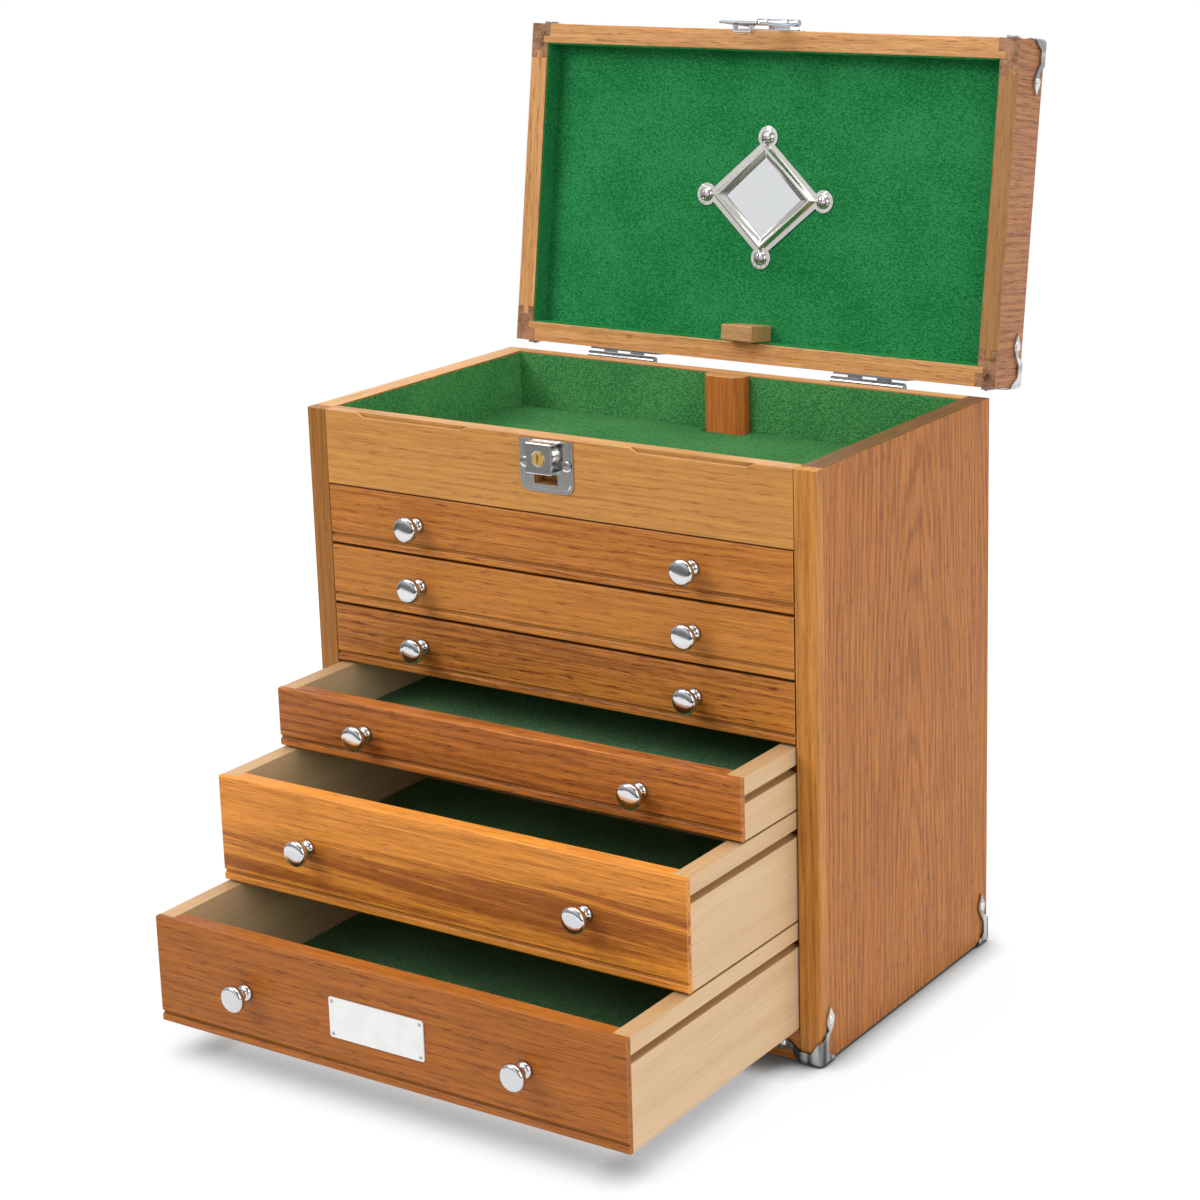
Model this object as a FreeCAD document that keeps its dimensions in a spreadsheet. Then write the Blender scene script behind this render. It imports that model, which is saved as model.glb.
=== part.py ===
# Top tool chest: a wooden case with a lined till, six drawers, a hinged lid with a mirror,
# a key lock with a hasp, and a bar that locks the drawers when the lid is shut.
# Frame: millimetres, +Z up, origin on the floor under the middle of the case, front towards -Y.
# The lid is drawn shut and then swung open about its hinge pin; the drawers are drawn shut
# and then pulled out, as the chest stands in use.
import FreeCAD
import Part
import Sketcher
import os

DOCUMENT = FreeCAD.newDocument("top_tool_chest")

# Driving sizes in millimetres, and angles in degrees
SIZE_VALUES = {
    # Case
    "case_width": 400.0,
    "case_depth": 235.0,
    "corner_metal": 1.7,
    "side_thickness": 16.0,
    "stile_depth": 9.0,
    "stile_round": 1.2,
    "back_thickness": 10.0,
    "bottom_thickness": 9.0,
    "bottom_field_inset": 6.0,
    "base_height": 22.5,
    "base_rail_thickness": 12.0,
    # Till under the lid
    "till_front_height": 51.5,
    "till_front_thickness": 12.5,
    "till_floor_thickness": 6.0,
    "till_depth": 41.0,
    "till_lining_drop": 1.0,
    "felt": 1.0,
    "felt_gap": 0.3,
    "grip_length": 93.0,
    "grip_centre": 110.5,
    "grip_height": 3.0,
    "grip_slope": 6.0,
    "grip_depth": 4.0,
    # Drawers
    "shallow_pitch": 42.5,
    "deep_pitch": 75.0,
    "front_gap": 0.75,
    "front_end_gap": 0.5,
    "front_thickness": 12.0,
    "front_lap": 4.0,
    "front_round": 1.2,
    "bead_height": 5.5,
    "bead_round": 1.5,
    "bead_groove_depth": 1.6,
    "bead_groove_height": 2.4,
    "bead_groove_floor": 0.8,
    "drawer_side_thickness": 12.0,
    "drawer_side_gap": 0.8,
    "drawer_back_thickness": 8.0,
    "drawer_back_drop": 17.5,
    "drawer_rear_gap": 2.5,
    "drawer_bottom_thickness": 4.0,
    "drawer_bottom_lift": 5.0,
    "drawer_groove_depth": 4.0,
    "drawer_4_open": 65.0,
    "drawer_5_open": 128.0,
    "drawer_6_open": 195.0,
    # Runners on the case sides and their grooves in the drawer sides
    "runner_groove_drop": 11.7,
    "runner_groove_height": 5.5,
    "runner_groove_depth": 7.0,
    "runner_gap": 0.3,
    "runner_front_gap": 0.6,
    "runner_end_gap": 8.0,
    # Knobs
    "knob_spacing": 219.0,
    "knob_head_radius": 8.8,
    "knob_waist_radius": 4.0,
    "knob_foot_radius": 5.6,
    "knob_foot_height": 1.4,
    "knob_waist_start": 4.8,
    "knob_waist_end": 7.6,
    "knob_head_start": 12.6,
    "knob_length": 18.0,
    "knob_head_bevel": 1.3,
    # Lid
    "lid_height": 38.0,
    "lid_rail": 14.0,
    "lid_post_width": 15.5,
    "lid_post_depth": 25.0,
    "lid_lining_depth": 16.0,
    "lid_tongue": 5.0,
    "lid_tongue_length": 5.6,
    "lid_angle": 98.7,
    # Hinges
    "hinge_spacing": 206.0,
    "hinge_length": 58.0,
    "hinge_leaf_height": 18.0,
    "hinge_leaf": 1.2,
    "hinge_offset": 6.0,
    "hinge_drop": 1.0,
    "hinge_barrel_radius": 3.2,
    "hinge_pin_radius": 1.3,
    "hinge_play": 0.05,
    "knuckle_gap": 0.3,
    "hinge_screw_pitch": 19.3,
    "hinge_screw_reach": 10.8,
    "hinge_screw_radius": 2.6,
    "hinge_screw_head": 0.9,
    # Mirror: places count from its middle to its points
    "mirror_reach_across": 48.5,
    "mirror_reach_up": 43.0,
    "mirror_opening_across": 31.0,
    "mirror_opening_up": 28.8,
    "mirror_plate": 1.0,
    "mirror_crest_height": 4.4,
    "mirror_lip_height": 2.4,
    "mirror_crest_foot_share": 0.32,
    "mirror_crest_outer_share": 0.5,
    "mirror_crest_inner_share": 0.62,
    "mirror_lobe_radius": 8.0,
    "mirror_glass": 1.8,
    "mirror_glass_gap": 0.2,
    "mirror_screw_radius": 5.2,
    "mirror_screw_head": 2.8,
    # Block in the lid and the bar that it presses down
    "block_width": 25.0,
    "block_depth": 11.5,
    "bar_width": 33.0,
    "bar_thickness": 12.0,
    "bar_gap": 0.5,
    "bar_chamfer": 5.0,
    "bar_shoulder": 3.5,
    "bar_travel": 13.0,
    "bar_foot": 44.0,
    "guide_cheek": 8.0,
    "guide_lip": 1.8,
    "guide_height": 44.0,
    "guide_floor": 3.0,
    "spring_radius": 4.2,
    "spring_wire": 1.0,
    "spring_turns": 7.0,
    "spring_end_gap": 0.25,
    "catch_metal": 1.5,
    "catch_width": 14.0,
    "catch_lip": 9.0,
    "catch_leg": 17.0,
    "catch_gap": 1.0,
    # Lock on the till front
    "lock_plate_width": 42.0,
    "lock_plate_height": 35.0,
    "lock_plate_drop": 1.5,
    "lock_plate_metal": 0.8,
    "lock_plate_step": 2.5,
    "lock_plate_round": 6.5,
    "lock_case_width": 20.0,
    "lock_case_height": 20.5,
    "lock_case_depth": 8.0,
    "lock_case_metal": 1.4,
    "lock_case_drop": 0.8,
    "lock_slot_width": 18.5,
    "lock_slot_height": 6.8,
    "lock_slot_gap": 1.4,
    "lock_mortise": 8.0,
    "lock_barrel_radius": 6.5,
    "plug_radius": 4.5,
    "plug_play": 0.05,
    "plug_proud": 0.6,
    "key_slot_width": 1.6,
    "key_slot_height": 5.6,
    "key_slot_depth": 3.0,
    "lock_screw_spread": 33.0,
    "lock_screw_rise": 5.1,
    "lock_screw_radius": 3.6,
    "lock_screw_head": 0.4,
    # Hasp on the lid front
    "hasp_pivot_rise": 20.0,
    "hasp_pivot_out": 6.6,
    "hasp_bend_rise": 3.0,
    "hasp_barrel_radius": 2.5,
    "hasp_pin_radius": 1.2,
    "hasp_width": 34.0,
    "hasp_metal": 1.6,
    "hasp_clearance": 0.5,
    "hasp_arm": 5.0,
    "hasp_tail": 11.0,
    "hasp_bridge": 3.2,
    "hasp_round": 3.0,
    "staple_width": 15.0,
    "staple_height": 4.6,
    "staple_reach": 6.0,
    "staple_wire": 1.8,
    "hasp_base_width": 50.0,
    "hasp_base_rise": 8.0,
    "hasp_base_height": 17.0,
    "hasp_base_metal": 1.0,
    "hasp_boss_width": 16.0,
    "hasp_screw_radius": 2.8,
    "hasp_screw_head": 1.2,
    # Carrying handle on the lid
    "handle_span": 124.0,
    "handle_pivot_height": 8.0,
    "handle_drop": 30.0,
    "handle_grip_radius": 7.0,
    "handle_arm_radius": 2.6,
    "handle_eye_radius": 4.2,
    "handle_eye_width": 9.0,
    "handle_pin_radius": 2.0,
    "handle_pin_gap": 0.08,
    "handle_ear": 2.0,
    "handle_ear_gap": 0.3,
    "handle_plate_length": 27.0,
    "handle_plate": 1.5,
    # Metal corners
    "corner_foot": 16.5,
    "corner_waist": 7.0,
    "corner_bend": 15.0,
    "corner_rivet_across": 10.5,
    "corner_rivet_along": 28.0,
    "corner_spear": 4.4,
    "corner_neck_share": 1.5,
    "corner_barb_share": 0.3,
    "corner_tip": 37.0,
    "corner_round": 3.2,
    "rivet_radius": 3.0,
    "rivet_height": 1.5,
    "head_top_share": 0.6,
    # Overrun of every cut past the face that it opens
    "overrun": 1.0,
}

SHALLOW_DRAWERS = 4
DEEP_DRAWERS = 2
KNUCKLES = 5
SPRING_WIRE_SIDES = 4
FAILED_STATES = ("Invalid", "Error")
RIGHT_ANGLE = 90.0
HALF_TURN = 180.0
FULL_TURN = 360.0
# Distance in millimetres within which a point lies on a plane
NEARNESS = 1e-4
# Share of an edge's length by which it may leave an axis and still run along it
STRAIGHTNESS = 1e-6


class Size:
    """A length or angle worked out from the sheet: its number and its expression."""

    def __init__(self, value, text):
        self.value = float(value)
        self.text = text

    def joined(self, other, sign, value):
        return Size(value, "(%s %s %s)" % (self.text, sign, other.text))

    def __add__(self, other):
        return self.joined(as_size(other), "+", self.value + as_size(other).value)

    def __radd__(self, other):
        return as_size(other) + self

    def __sub__(self, other):
        return self.joined(as_size(other), "-", self.value - as_size(other).value)

    def __rsub__(self, other):
        return as_size(other) - self

    def __mul__(self, other):
        return self.joined(as_size(other), "*", self.value * as_size(other).value)

    def __rmul__(self, other):
        return as_size(other) * self

    def __truediv__(self, other):
        return self.joined(as_size(other), "/", self.value / as_size(other).value)

    def __neg__(self):
        return Size(-self.value, "(-1 * %s)" % self.text)


def as_size(number):
    """Turn a plain count or zero into a Size."""
    return number if isinstance(number, Size) else Size(number, repr(float(number)))


class Sizes:
    """Every driving size by its name."""


def make_sheet(values):
    """Put the driving sizes in a spreadsheet and return them by name."""
    sheet = DOCUMENT.addObject("Spreadsheet::Sheet", "sizes")
    sizes = Sizes()
    for row, (name, value) in enumerate(values.items(), start=1):
        sheet.set("A%d" % row, name)
        sheet.set("B%d" % row, repr(value))
        sheet.setAlias("B%d" % row, name)
        setattr(sizes, name, Size(value, "sizes." + name))
    DOCUMENT.recompute()
    return sizes


S = make_sheet(SIZE_VALUES)

# Planes of the case
HALF_WIDTH = S.case_width / 2
FRONT = -S.case_depth / 2
REAR = S.case_depth / 2
INNER_X = HALF_WIDTH - S.side_thickness
INNER_REAR = REAR - S.back_thickness
TILL_FRONT_FOOT = S.base_height + S.shallow_pitch * SHALLOW_DRAWERS + S.deep_pitch * DEEP_DRAWERS
RIM = TILL_FRONT_FOOT + S.till_front_height
TILL_LINING_TOP = RIM - S.till_depth
TILL_FLOOR_TOP = TILL_LINING_TOP - S.felt
TILL_FLOOR_FOOT = TILL_FLOOR_TOP - S.till_floor_thickness

# Planes of the lid, as it lies shut
LID_TOP = RIM + S.lid_height
LID_LINING = RIM + S.lid_lining_depth
LID_BOARD = LID_LINING + S.felt

# Hinge pin
PIN_Y = REAR + S.hinge_offset
PIN_Z = RIM - S.hinge_drop

# Face of the lock plate, which has a step round its edge
LOCK_FACE = FRONT - S.lock_plate_metal - S.lock_plate_metal

# Bar behind the drawers
BAR_REAR = INNER_REAR - S.bar_gap
BAR_FRONT = BAR_REAR - S.bar_thickness

AXIS_X = FreeCAD.Vector(1, 0, 0)
AXIS_Y = FreeCAD.Vector(0, 1, 0)
AXIS_Z = FreeCAD.Vector(0, 0, 1)
ORIGIN = FreeCAD.Vector(0, 0, 0)

# Turn that lays a round form, drawn upright, along each direction
TURNS = {
    "x": (AXIS_Y, RIGHT_ANGLE),
    "y": (AXIS_X, -RIGHT_ANGLE),
    "-y": (AXIS_X, RIGHT_ANGLE),
    "z": (AXIS_Z, 0),
    "-z": (AXIS_X, HALF_TURN),
}


def bind(thing, prop, size):
    """Tie one property of an object to the sheet."""
    thing.setExpression(prop, as_size(size).text)


def block(name, x, y, z):
    """A rectangular block between three pairs of planes."""
    box = DOCUMENT.addObject("Part::Box", name)
    for prop, axis, (low, high) in (("Length", "x", x), ("Width", "y", y), ("Height", "z", z)):
        bind(box, prop, as_size(high) - low)
        bind(box, "Placement.Base." + axis, low)
    return box


def rod(name, axis, centre, low, high, radius):
    """A cylinder along one axis; centre gives the two other coordinates in X, Y, Z order."""
    cylinder = DOCUMENT.addObject("Part::Cylinder", name)
    bind(cylinder, "Radius", radius)
    bind(cylinder, "Height", as_size(high) - low)
    turn_axis, angle = TURNS[axis]
    cylinder.Placement = FreeCAD.Placement(ORIGIN, FreeCAD.Rotation(turn_axis, angle))
    places = [letter for letter in "xyz" if letter != axis]
    for letter, place in zip(places + [axis], list(centre) + [low]):
        bind(cylinder, "Placement.Base." + letter, place)
    return cylinder


def head(name, direction, centre, base, radius, height):
    """A tapered rivet or screw head that stands on a plane and points along an axis, such as "-y".

    centre gives the two other coordinates in X, Y, Z order."""
    axis = direction[-1]
    cone = DOCUMENT.addObject("Part::Cone", name)
    bind(cone, "Radius1", radius)
    bind(cone, "Radius2", radius * S.head_top_share)
    bind(cone, "Height", height)
    turn_axis, angle = TURNS[direction]
    cone.Placement = FreeCAD.Placement(ORIGIN, FreeCAD.Rotation(turn_axis, angle))
    places = [letter for letter in "xyz" if letter != axis]
    for letter, place in zip(places + [axis], list(centre) + [base]):
        bind(cone, "Placement.Base." + letter, place)
    return cone


def fuse(name, things):
    """One solid from several that overlap."""
    union = DOCUMENT.addObject("Part::MultiFuse", name)
    union.Shapes = things
    union.Refine = True
    return union


def cut(name, base, tool):
    """Take a tool away from a base."""
    difference = DOCUMENT.addObject("Part::Cut", name)
    difference.Base = base
    difference.Tool = tool
    difference.Refine = True
    return difference


def mirror(name, source, normal):
    """A mirrored copy across a plane through the origin."""
    copy = DOCUMENT.addObject("Part::Mirroring", name)
    copy.Source = source
    copy.Normal = normal
    copy.Base = ORIGIN
    return copy


def group(label, things):
    """Several separate solids that make one named sub-part."""
    compound = DOCUMENT.addObject("Part::Compound", label)
    compound.Links = things
    compound.Label = label
    return compound


def both_sides(source):
    """A piece and its mirror image on the other side of the chest."""
    return [source, mirror(source.Name + "_other", source, AXIS_X)]


def four_corners(source):
    """A piece at the front right corner and its three mirror images."""
    front_pair = both_sides(source)
    rear = mirror(source.Name + "_rear", source, AXIS_Y)
    return front_pair + both_sides(rear)


def new_body(name):
    """An empty body for sketched features."""
    return DOCUMENT.addObject("PartDesign::Body", name)


def sketch_on(body, plane, place):
    """An empty sketch parallel to an origin plane, at its place along that plane's axis."""
    role = plane + "_Plane"
    support = [feature for feature in body.Origin.OriginFeatures if feature.Role == role][0]
    sketch = body.newObject("Sketcher::SketchObject", body.Name + "_sketch")
    sketch.AttachmentSupport = (support, "")
    sketch.MapMode = "FlatFace"
    offset = -as_size(place) if plane == "XZ" else as_size(place)
    bind(sketch, "AttachmentOffset.Base.z", offset)
    return sketch


def pin_down(sketch, curve, end, point):
    """Hold a sketch point at its distances from the origin."""
    for kind, place in zip(("DistanceX", "DistanceY"), point):
        place = as_size(place)
        rule = Sketcher.Constraint(kind, -1, 1, curve, end, place.value)
        bind(sketch, "Constraints[%d]" % sketch.addConstraint(rule), place)


def draw_outline(sketch, points):
    """A closed outline of straight edges through the points."""
    corners = [FreeCAD.Vector(as_size(u).value, as_size(v).value, 0) for u, v in points]
    first = sketch.GeometryCount
    count = len(points)
    for index, corner in enumerate(corners):
        sketch.addGeometry(Part.LineSegment(corner, corners[(index + 1) % count]))
    for index in range(count):
        following = first + (index + 1) % count
        sketch.addConstraint(Sketcher.Constraint("Coincident", first + index, 2, following, 1))
    for index, point in enumerate(points):
        pin_down(sketch, first + index, 1, point)


def draw_circle(sketch, centre, radius):
    """A circle at its centre."""
    place = FreeCAD.Vector(as_size(centre[0]).value, as_size(centre[1]).value, 0)
    curve = sketch.addGeometry(Part.Circle(place, AXIS_Z, as_size(radius).value))
    pin_down(sketch, curve, 3, centre)
    rule = Sketcher.Constraint("Radius", curve, as_size(radius).value)
    bind(sketch, "Constraints[%d]" % sketch.addConstraint(rule), radius)


def rectangle(u, v):
    """The four corners of a rectangle between two pairs of places."""
    return [(u[0], v[0]), (u[1], v[0]), (u[1], v[1]), (u[0], v[1])]


def extrude(body, kind, plane, low, high, outlines=(), circles=()):
    """Pad or pocket outlines between two planes."""
    sketch = sketch_on(body, plane, (as_size(low) + high) / 2)
    for points in outlines:
        draw_outline(sketch, points)
    for centre, radius in circles:
        draw_circle(sketch, centre, radius)
    feature = body.newObject("PartDesign::" + kind, body.Name + "_" + kind.lower())
    feature.Profile = sketch
    feature.Midplane = True
    bind(feature, "Length", as_size(high) - low)
    body.Tip = feature
    return feature


def pad(body, plane, low, high, outlines=(), circles=()):
    """Add material between two planes."""
    return extrude(body, "Pad", plane, low, high, outlines, circles)


def pocket(body, plane, low, high, outlines=(), circles=()):
    """Take material away between two planes, and make sure that some went."""
    DOCUMENT.recompute()
    before = body.Shape.Volume
    feature = extrude(body, "Pocket", plane, low, high, outlines, circles)
    DOCUMENT.recompute()
    if not body.Shape.Volume < before:
        raise ValueError("a pocket of %s cuts nothing" % body.Label)
    return feature


def loft(body, kind, plane, stations):
    """Add or take away a form that runs straight from one outline to the next.

    kind is Additive or Subtractive, and each station is a place and its outline."""
    sketches = []
    for place, points in stations:
        sketch = sketch_on(body, plane, place)
        draw_outline(sketch, points)
        sketches.append(sketch)
    feature = body.newObject("PartDesign::%sLoft" % kind, body.Name + "_loft")
    feature.Profile = sketches[0]
    feature.Sections = sketches[1:]
    feature.Ruled = True
    body.Tip = feature
    return feature


def edge_names(shape, wanted):
    """Names of the edges whose middle point and direction pass a test."""
    names = []
    for number, edge in enumerate(shape.Edges, start=1):
        middle = edge.valueAt((edge.FirstParameter + edge.LastParameter) / 2)
        run = edge.valueAt(edge.LastParameter) - edge.valueAt(edge.FirstParameter)
        if wanted(middle, run):
            names.append("Edge%d" % number)
    return names


def dress(body, kind, prop, size, wanted):
    """Fillet or chamfer the edges of a body that pass a test."""
    DOCUMENT.recompute()
    base = body.Tip
    names = edge_names(base.Shape, wanted)
    if not names:
        raise ValueError("no edge of %s to round" % body.Label)
    feature = body.newObject("PartDesign::" + kind, body.Name + "_" + kind.lower())
    feature.Base = (base, names)
    bind(feature, prop, size)
    body.Tip = feature
    return feature


def near(value, size):
    """True where a coordinate lies on a plane."""
    return abs(value - as_size(size).value) < NEARNESS


def along(run, axis):
    """True where an edge runs along one axis."""
    length = run.Length
    return length > 0 and abs(abs(run.dot(axis)) - length) < STRAIGHTNESS * length


def slab(label, plane, low, high, points):
    """A one-pad body whose label names the sub-part."""
    body = new_body(label)
    body.Label = label
    pad(body, plane, low, high, [points])
    return body


def lid_placement():
    """The swing from the shut lid to the open one, about the hinge pin."""
    pin = FreeCAD.Vector(0, PIN_Y.value, PIN_Z.value)
    return FreeCAD.Placement(ORIGIN, FreeCAD.Rotation(AXIS_X, -S.lid_angle.value), pin)


def make_finger_grips(body, rim, low, high):
    """Two shallow scoops along the front edge of a rim, where fingers open the lid.

    rim is the plane of the edge, and low and high bound the scoop away from it."""
    for side in (-1, 1):
        middle = S.grip_centre * side
        half = S.grip_length / 2
        flat = half - S.grip_slope
        points = [
            (middle - half, rim),
            (middle - flat, low),
            (middle + flat, low),
            (middle + half, rim),
            (middle + half, high),
            (middle - half, high),
        ]
        pocket(body, "XZ", FRONT - S.overrun, FRONT + S.grip_depth / 2, [points])


def make_case():
    """Sides with front stiles, back, bottom and base rail."""
    side = slab("case_side_right", "YZ", INNER_X, HALF_WIDTH,
                rectangle((FRONT + S.stile_depth, REAR), (S.corner_metal, RIM)))
    side_left = slab("case_side_left", "YZ", -HALF_WIDTH, -INNER_X,
                     rectangle((FRONT + S.stile_depth, REAR), (S.corner_metal, RIM)))
    stile = new_body("stile")
    pad(stile, "XY", S.corner_metal, RIM,
        [rectangle((INNER_X, HALF_WIDTH), (FRONT, FRONT + S.stile_depth))])
    dress(stile, "Fillet", "Radius", S.stile_round,
          lambda middle, run: along(run, AXIS_Z) and near(middle.y, FRONT))
    stiles = group("front_stiles", both_sides(stile))
    back = slab("case_back", "XZ", INNER_REAR, REAR,
                rectangle((-INNER_X, INNER_X), (S.corner_metal, RIM)))
    rail_rear = FRONT + S.base_rail_thickness
    rail = slab("base_rail", "YZ", -INNER_X, INNER_X,
                rectangle((FRONT, rail_rear), (S.corner_metal, S.base_height)))
    bottom = slab("case_bottom", "XY", S.corner_metal, S.bottom_thickness,
                  rectangle((-INNER_X, INNER_X), (rail_rear, INNER_REAR)))
    inset = S.bottom_field_inset
    pad(bottom, "XY", 0, S.corner_metal, [rectangle(
        (inset - INNER_X, INNER_X - inset), (rail_rear + inset, INNER_REAR - inset))])
    return [side, side_left, stiles, back, rail, bottom]


def make_till():
    """Fixed front with the lock mortise, floor with the bar's slot, and felt lining."""
    front_rear = FRONT + S.till_front_thickness
    front = slab("till_front", "YZ", -INNER_X, INNER_X,
                 rectangle((FRONT, front_rear), (TILL_FRONT_FOOT, RIM)))
    make_finger_grips(front, RIM, RIM - S.grip_height, RIM + S.overrun)
    slot_half = S.lock_slot_width / 2
    pocket(front, "XZ", FRONT - S.overrun, FRONT + S.lock_mortise,
           [rectangle((-slot_half, slot_half), lock_slot_heights())])

    slot_x = S.bar_width / 2 + S.bar_gap
    slot_y = BAR_FRONT - S.bar_gap
    notched = [
        (-INNER_X, front_rear), (INNER_X, front_rear), (INNER_X, INNER_REAR),
        (slot_x, INNER_REAR), (slot_x, slot_y), (-slot_x, slot_y),
        (-slot_x, INNER_REAR), (-INNER_X, INNER_REAR),
    ]
    floor = slab("till_floor", "XY", TILL_FLOOR_FOOT, TILL_FLOOR_TOP, notched)

    felt_floor = new_body("felt_floor")
    pad(felt_floor, "XY", TILL_FLOOR_TOP, TILL_LINING_TOP, [notched])
    walls = (TILL_LINING_TOP, RIM - S.till_lining_drop)
    lined_x = INNER_X - S.felt
    pieces = [felt_floor]
    pieces.append(block("felt_front", (-lined_x, lined_x), (front_rear, front_rear + S.felt), walls))
    pieces += both_sides(block("felt_side", (lined_x, INNER_X), (front_rear, INNER_REAR), walls))
    pieces += both_sides(block("felt_back", (slot_x, lined_x), (INNER_REAR - S.felt, INNER_REAR), walls))
    return [front, floor, group("till_lining", pieces)]


def lock_slot_heights():
    """Foot and top of the slot that the hasp's staple enters."""
    top = RIM - S.lock_plate_drop - S.lock_case_drop - S.lock_case_height - S.lock_slot_gap
    return (top - S.lock_slot_height, top)


def drawer_bays():
    """Foot, pitch and rest opening of each drawer, from the top down."""
    openings = {4: S.drawer_4_open, 5: S.drawer_5_open, 6: S.drawer_6_open}
    bays = []
    foot = TILL_FRONT_FOOT
    for number in range(1, SHALLOW_DRAWERS + DEEP_DRAWERS + 1):
        pitch = S.shallow_pitch if number <= SHALLOW_DRAWERS else S.deep_pitch
        foot = foot - pitch
        bays.append((number, foot, pitch, openings.get(number, as_size(0))))
    return bays


def drawer_top(foot, pitch):
    """Top edge of a drawer's front and sides."""
    return foot + pitch - S.front_gap


def groove_heights(foot, pitch):
    """Foot and top of the runner groove in a drawer's sides."""
    top = drawer_top(foot, pitch) - S.runner_groove_drop
    return (top - S.runner_groove_height, top)


def drawer_planes():
    """Places shared by every drawer: outer and inner faces of its sides, and its rear."""
    outer = INNER_X - S.drawer_side_gap
    return outer, outer - S.drawer_side_thickness, BAR_FRONT - S.drawer_rear_gap


def make_drawer_front(name, foot, pitch):
    """Moulded front: bead along the foot, laps over the side ends, groove for the bottom."""
    low = foot + S.front_gap
    top = drawer_top(foot, pitch)
    rear = FRONT + S.front_thickness
    end = INNER_X - S.front_end_gap
    groove_y = FRONT + S.bead_groove_depth
    bead_top = low + S.bead_height
    profile = [
        (FRONT, low), (FRONT, bead_top), (groove_y, bead_top),
        (groove_y, bead_top + S.bead_groove_floor), (FRONT, bead_top + S.bead_groove_height),
        (FRONT, top), (rear, top), (rear, low),
    ]
    front = slab(name, "YZ", -end, end, profile)
    dress(front, "Fillet", "Radius", S.bead_round,
          lambda middle, run: along(run, AXIS_X) and near(middle.y, FRONT)
          and (near(middle.z, low) or near(middle.z, bead_top)))
    dress(front, "Fillet", "Radius", S.front_round,
          lambda middle, run: along(run, AXIS_X) and near(middle.y, FRONT) and near(middle.z, top))
    inner = drawer_planes()[1]
    lap_rear = FRONT + S.front_lap
    for side in (-1, 1):
        reach = end + S.overrun
        notch = rectangle((inner * side, reach * side), (low - S.overrun, top + S.overrun))
        pocket(front, "XZ", lap_rear, rear + S.overrun, [notch])
    bottom_foot = foot + S.drawer_bottom_lift
    pocket(front, "YZ", -inner, inner, [rectangle(
        (rear - S.drawer_groove_depth, rear + S.overrun),
        (bottom_foot, bottom_foot + S.drawer_bottom_thickness))])
    return front


def make_drawer_box(name, foot, pitch):
    """Grooved sides, low back and the bottom board let into them."""
    outer, inner, back_face = drawer_planes()
    side_foot = foot + S.front_gap
    top = drawer_top(foot, pitch)
    groove = groove_heights(foot, pitch)
    bottom_foot = foot + S.drawer_bottom_lift
    bottom_top = bottom_foot + S.drawer_bottom_thickness
    cheek = outer - S.runner_groove_depth
    seat = inner + S.drawer_groove_depth
    side = new_body(name + "_side")
    section = [
        (inner, side_foot), (outer, side_foot), (outer, groove[0]), (cheek, groove[0]),
        (cheek, groove[1]), (outer, groove[1]), (outer, top), (inner, top),
        (inner, bottom_top), (seat, bottom_top), (seat, bottom_foot), (inner, bottom_foot),
    ]
    pad(side, "XZ", FRONT + S.front_lap, back_face, [section])
    back_front = back_face - S.drawer_back_thickness
    back = block(name + "_back", (-inner, inner), (back_front, back_face),
                 (side_foot, top - S.drawer_back_drop))
    back_groove = block(name + "_back_groove", (-inner, inner),
                        (back_front - S.overrun, back_front + S.drawer_groove_depth),
                        (bottom_foot, bottom_top))
    back_cut = cut(name + "_grooved_back", back, back_groove)
    bottom = block(name + "_bottom", (-seat, seat),
                   (FRONT + S.front_thickness, back_front), (bottom_foot, bottom_top))
    tongue = block(name + "_bottom_tongue", (-inner, inner),
                   (FRONT + S.front_thickness - S.drawer_groove_depth,
                    back_front + S.drawer_groove_depth), (bottom_foot, bottom_top))
    board = fuse(name + "_board", [bottom, tongue])
    return group(name, both_sides(side) + [back_cut, board])


def make_drawer_felt(name, foot):
    """Felt that lines a drawer's bottom."""
    inner, back_face = drawer_planes()[1:]
    low = foot + S.drawer_bottom_lift + S.drawer_bottom_thickness
    half = inner - S.felt_gap
    rear = back_face - S.drawer_back_thickness - S.felt_gap
    front = FRONT + S.front_thickness + S.felt_gap
    return slab(name, "XY", low, low + S.felt, rectangle((-half, half), (front, rear)))


def make_knob(name, x, height):
    """A turned knob on a drawer front: foot, waist and flat head with a bevelled rim."""
    profile = [
        (0, 0), (S.knob_foot_radius, 0), (S.knob_foot_radius, S.knob_foot_height),
        (S.knob_waist_radius, S.knob_waist_start), (S.knob_waist_radius, S.knob_waist_end),
        (S.knob_head_radius, S.knob_head_start),
        (S.knob_head_radius, S.knob_length - S.knob_head_bevel),
        (S.knob_head_radius - S.knob_head_bevel, S.knob_length), (0, S.knob_length),
    ]
    knob = new_body(name)
    sketch = sketch_on(knob, "XZ", 0)
    draw_outline(sketch, profile)
    turned = knob.newObject("PartDesign::Revolution", name + "_turned")
    turned.Profile = sketch
    turned.ReferenceAxis = (sketch, ["V_Axis"])
    turned.Angle = FULL_TURN
    knob.Tip = turned
    knob.Placement = FreeCAD.Placement(ORIGIN, FreeCAD.Rotation(AXIS_X, RIGHT_ANGLE))
    bind(knob, "Placement.Base.x", x)
    bind(knob, "Placement.Base.y", FRONT)
    bind(knob, "Placement.Base.z", height)
    return knob


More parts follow.
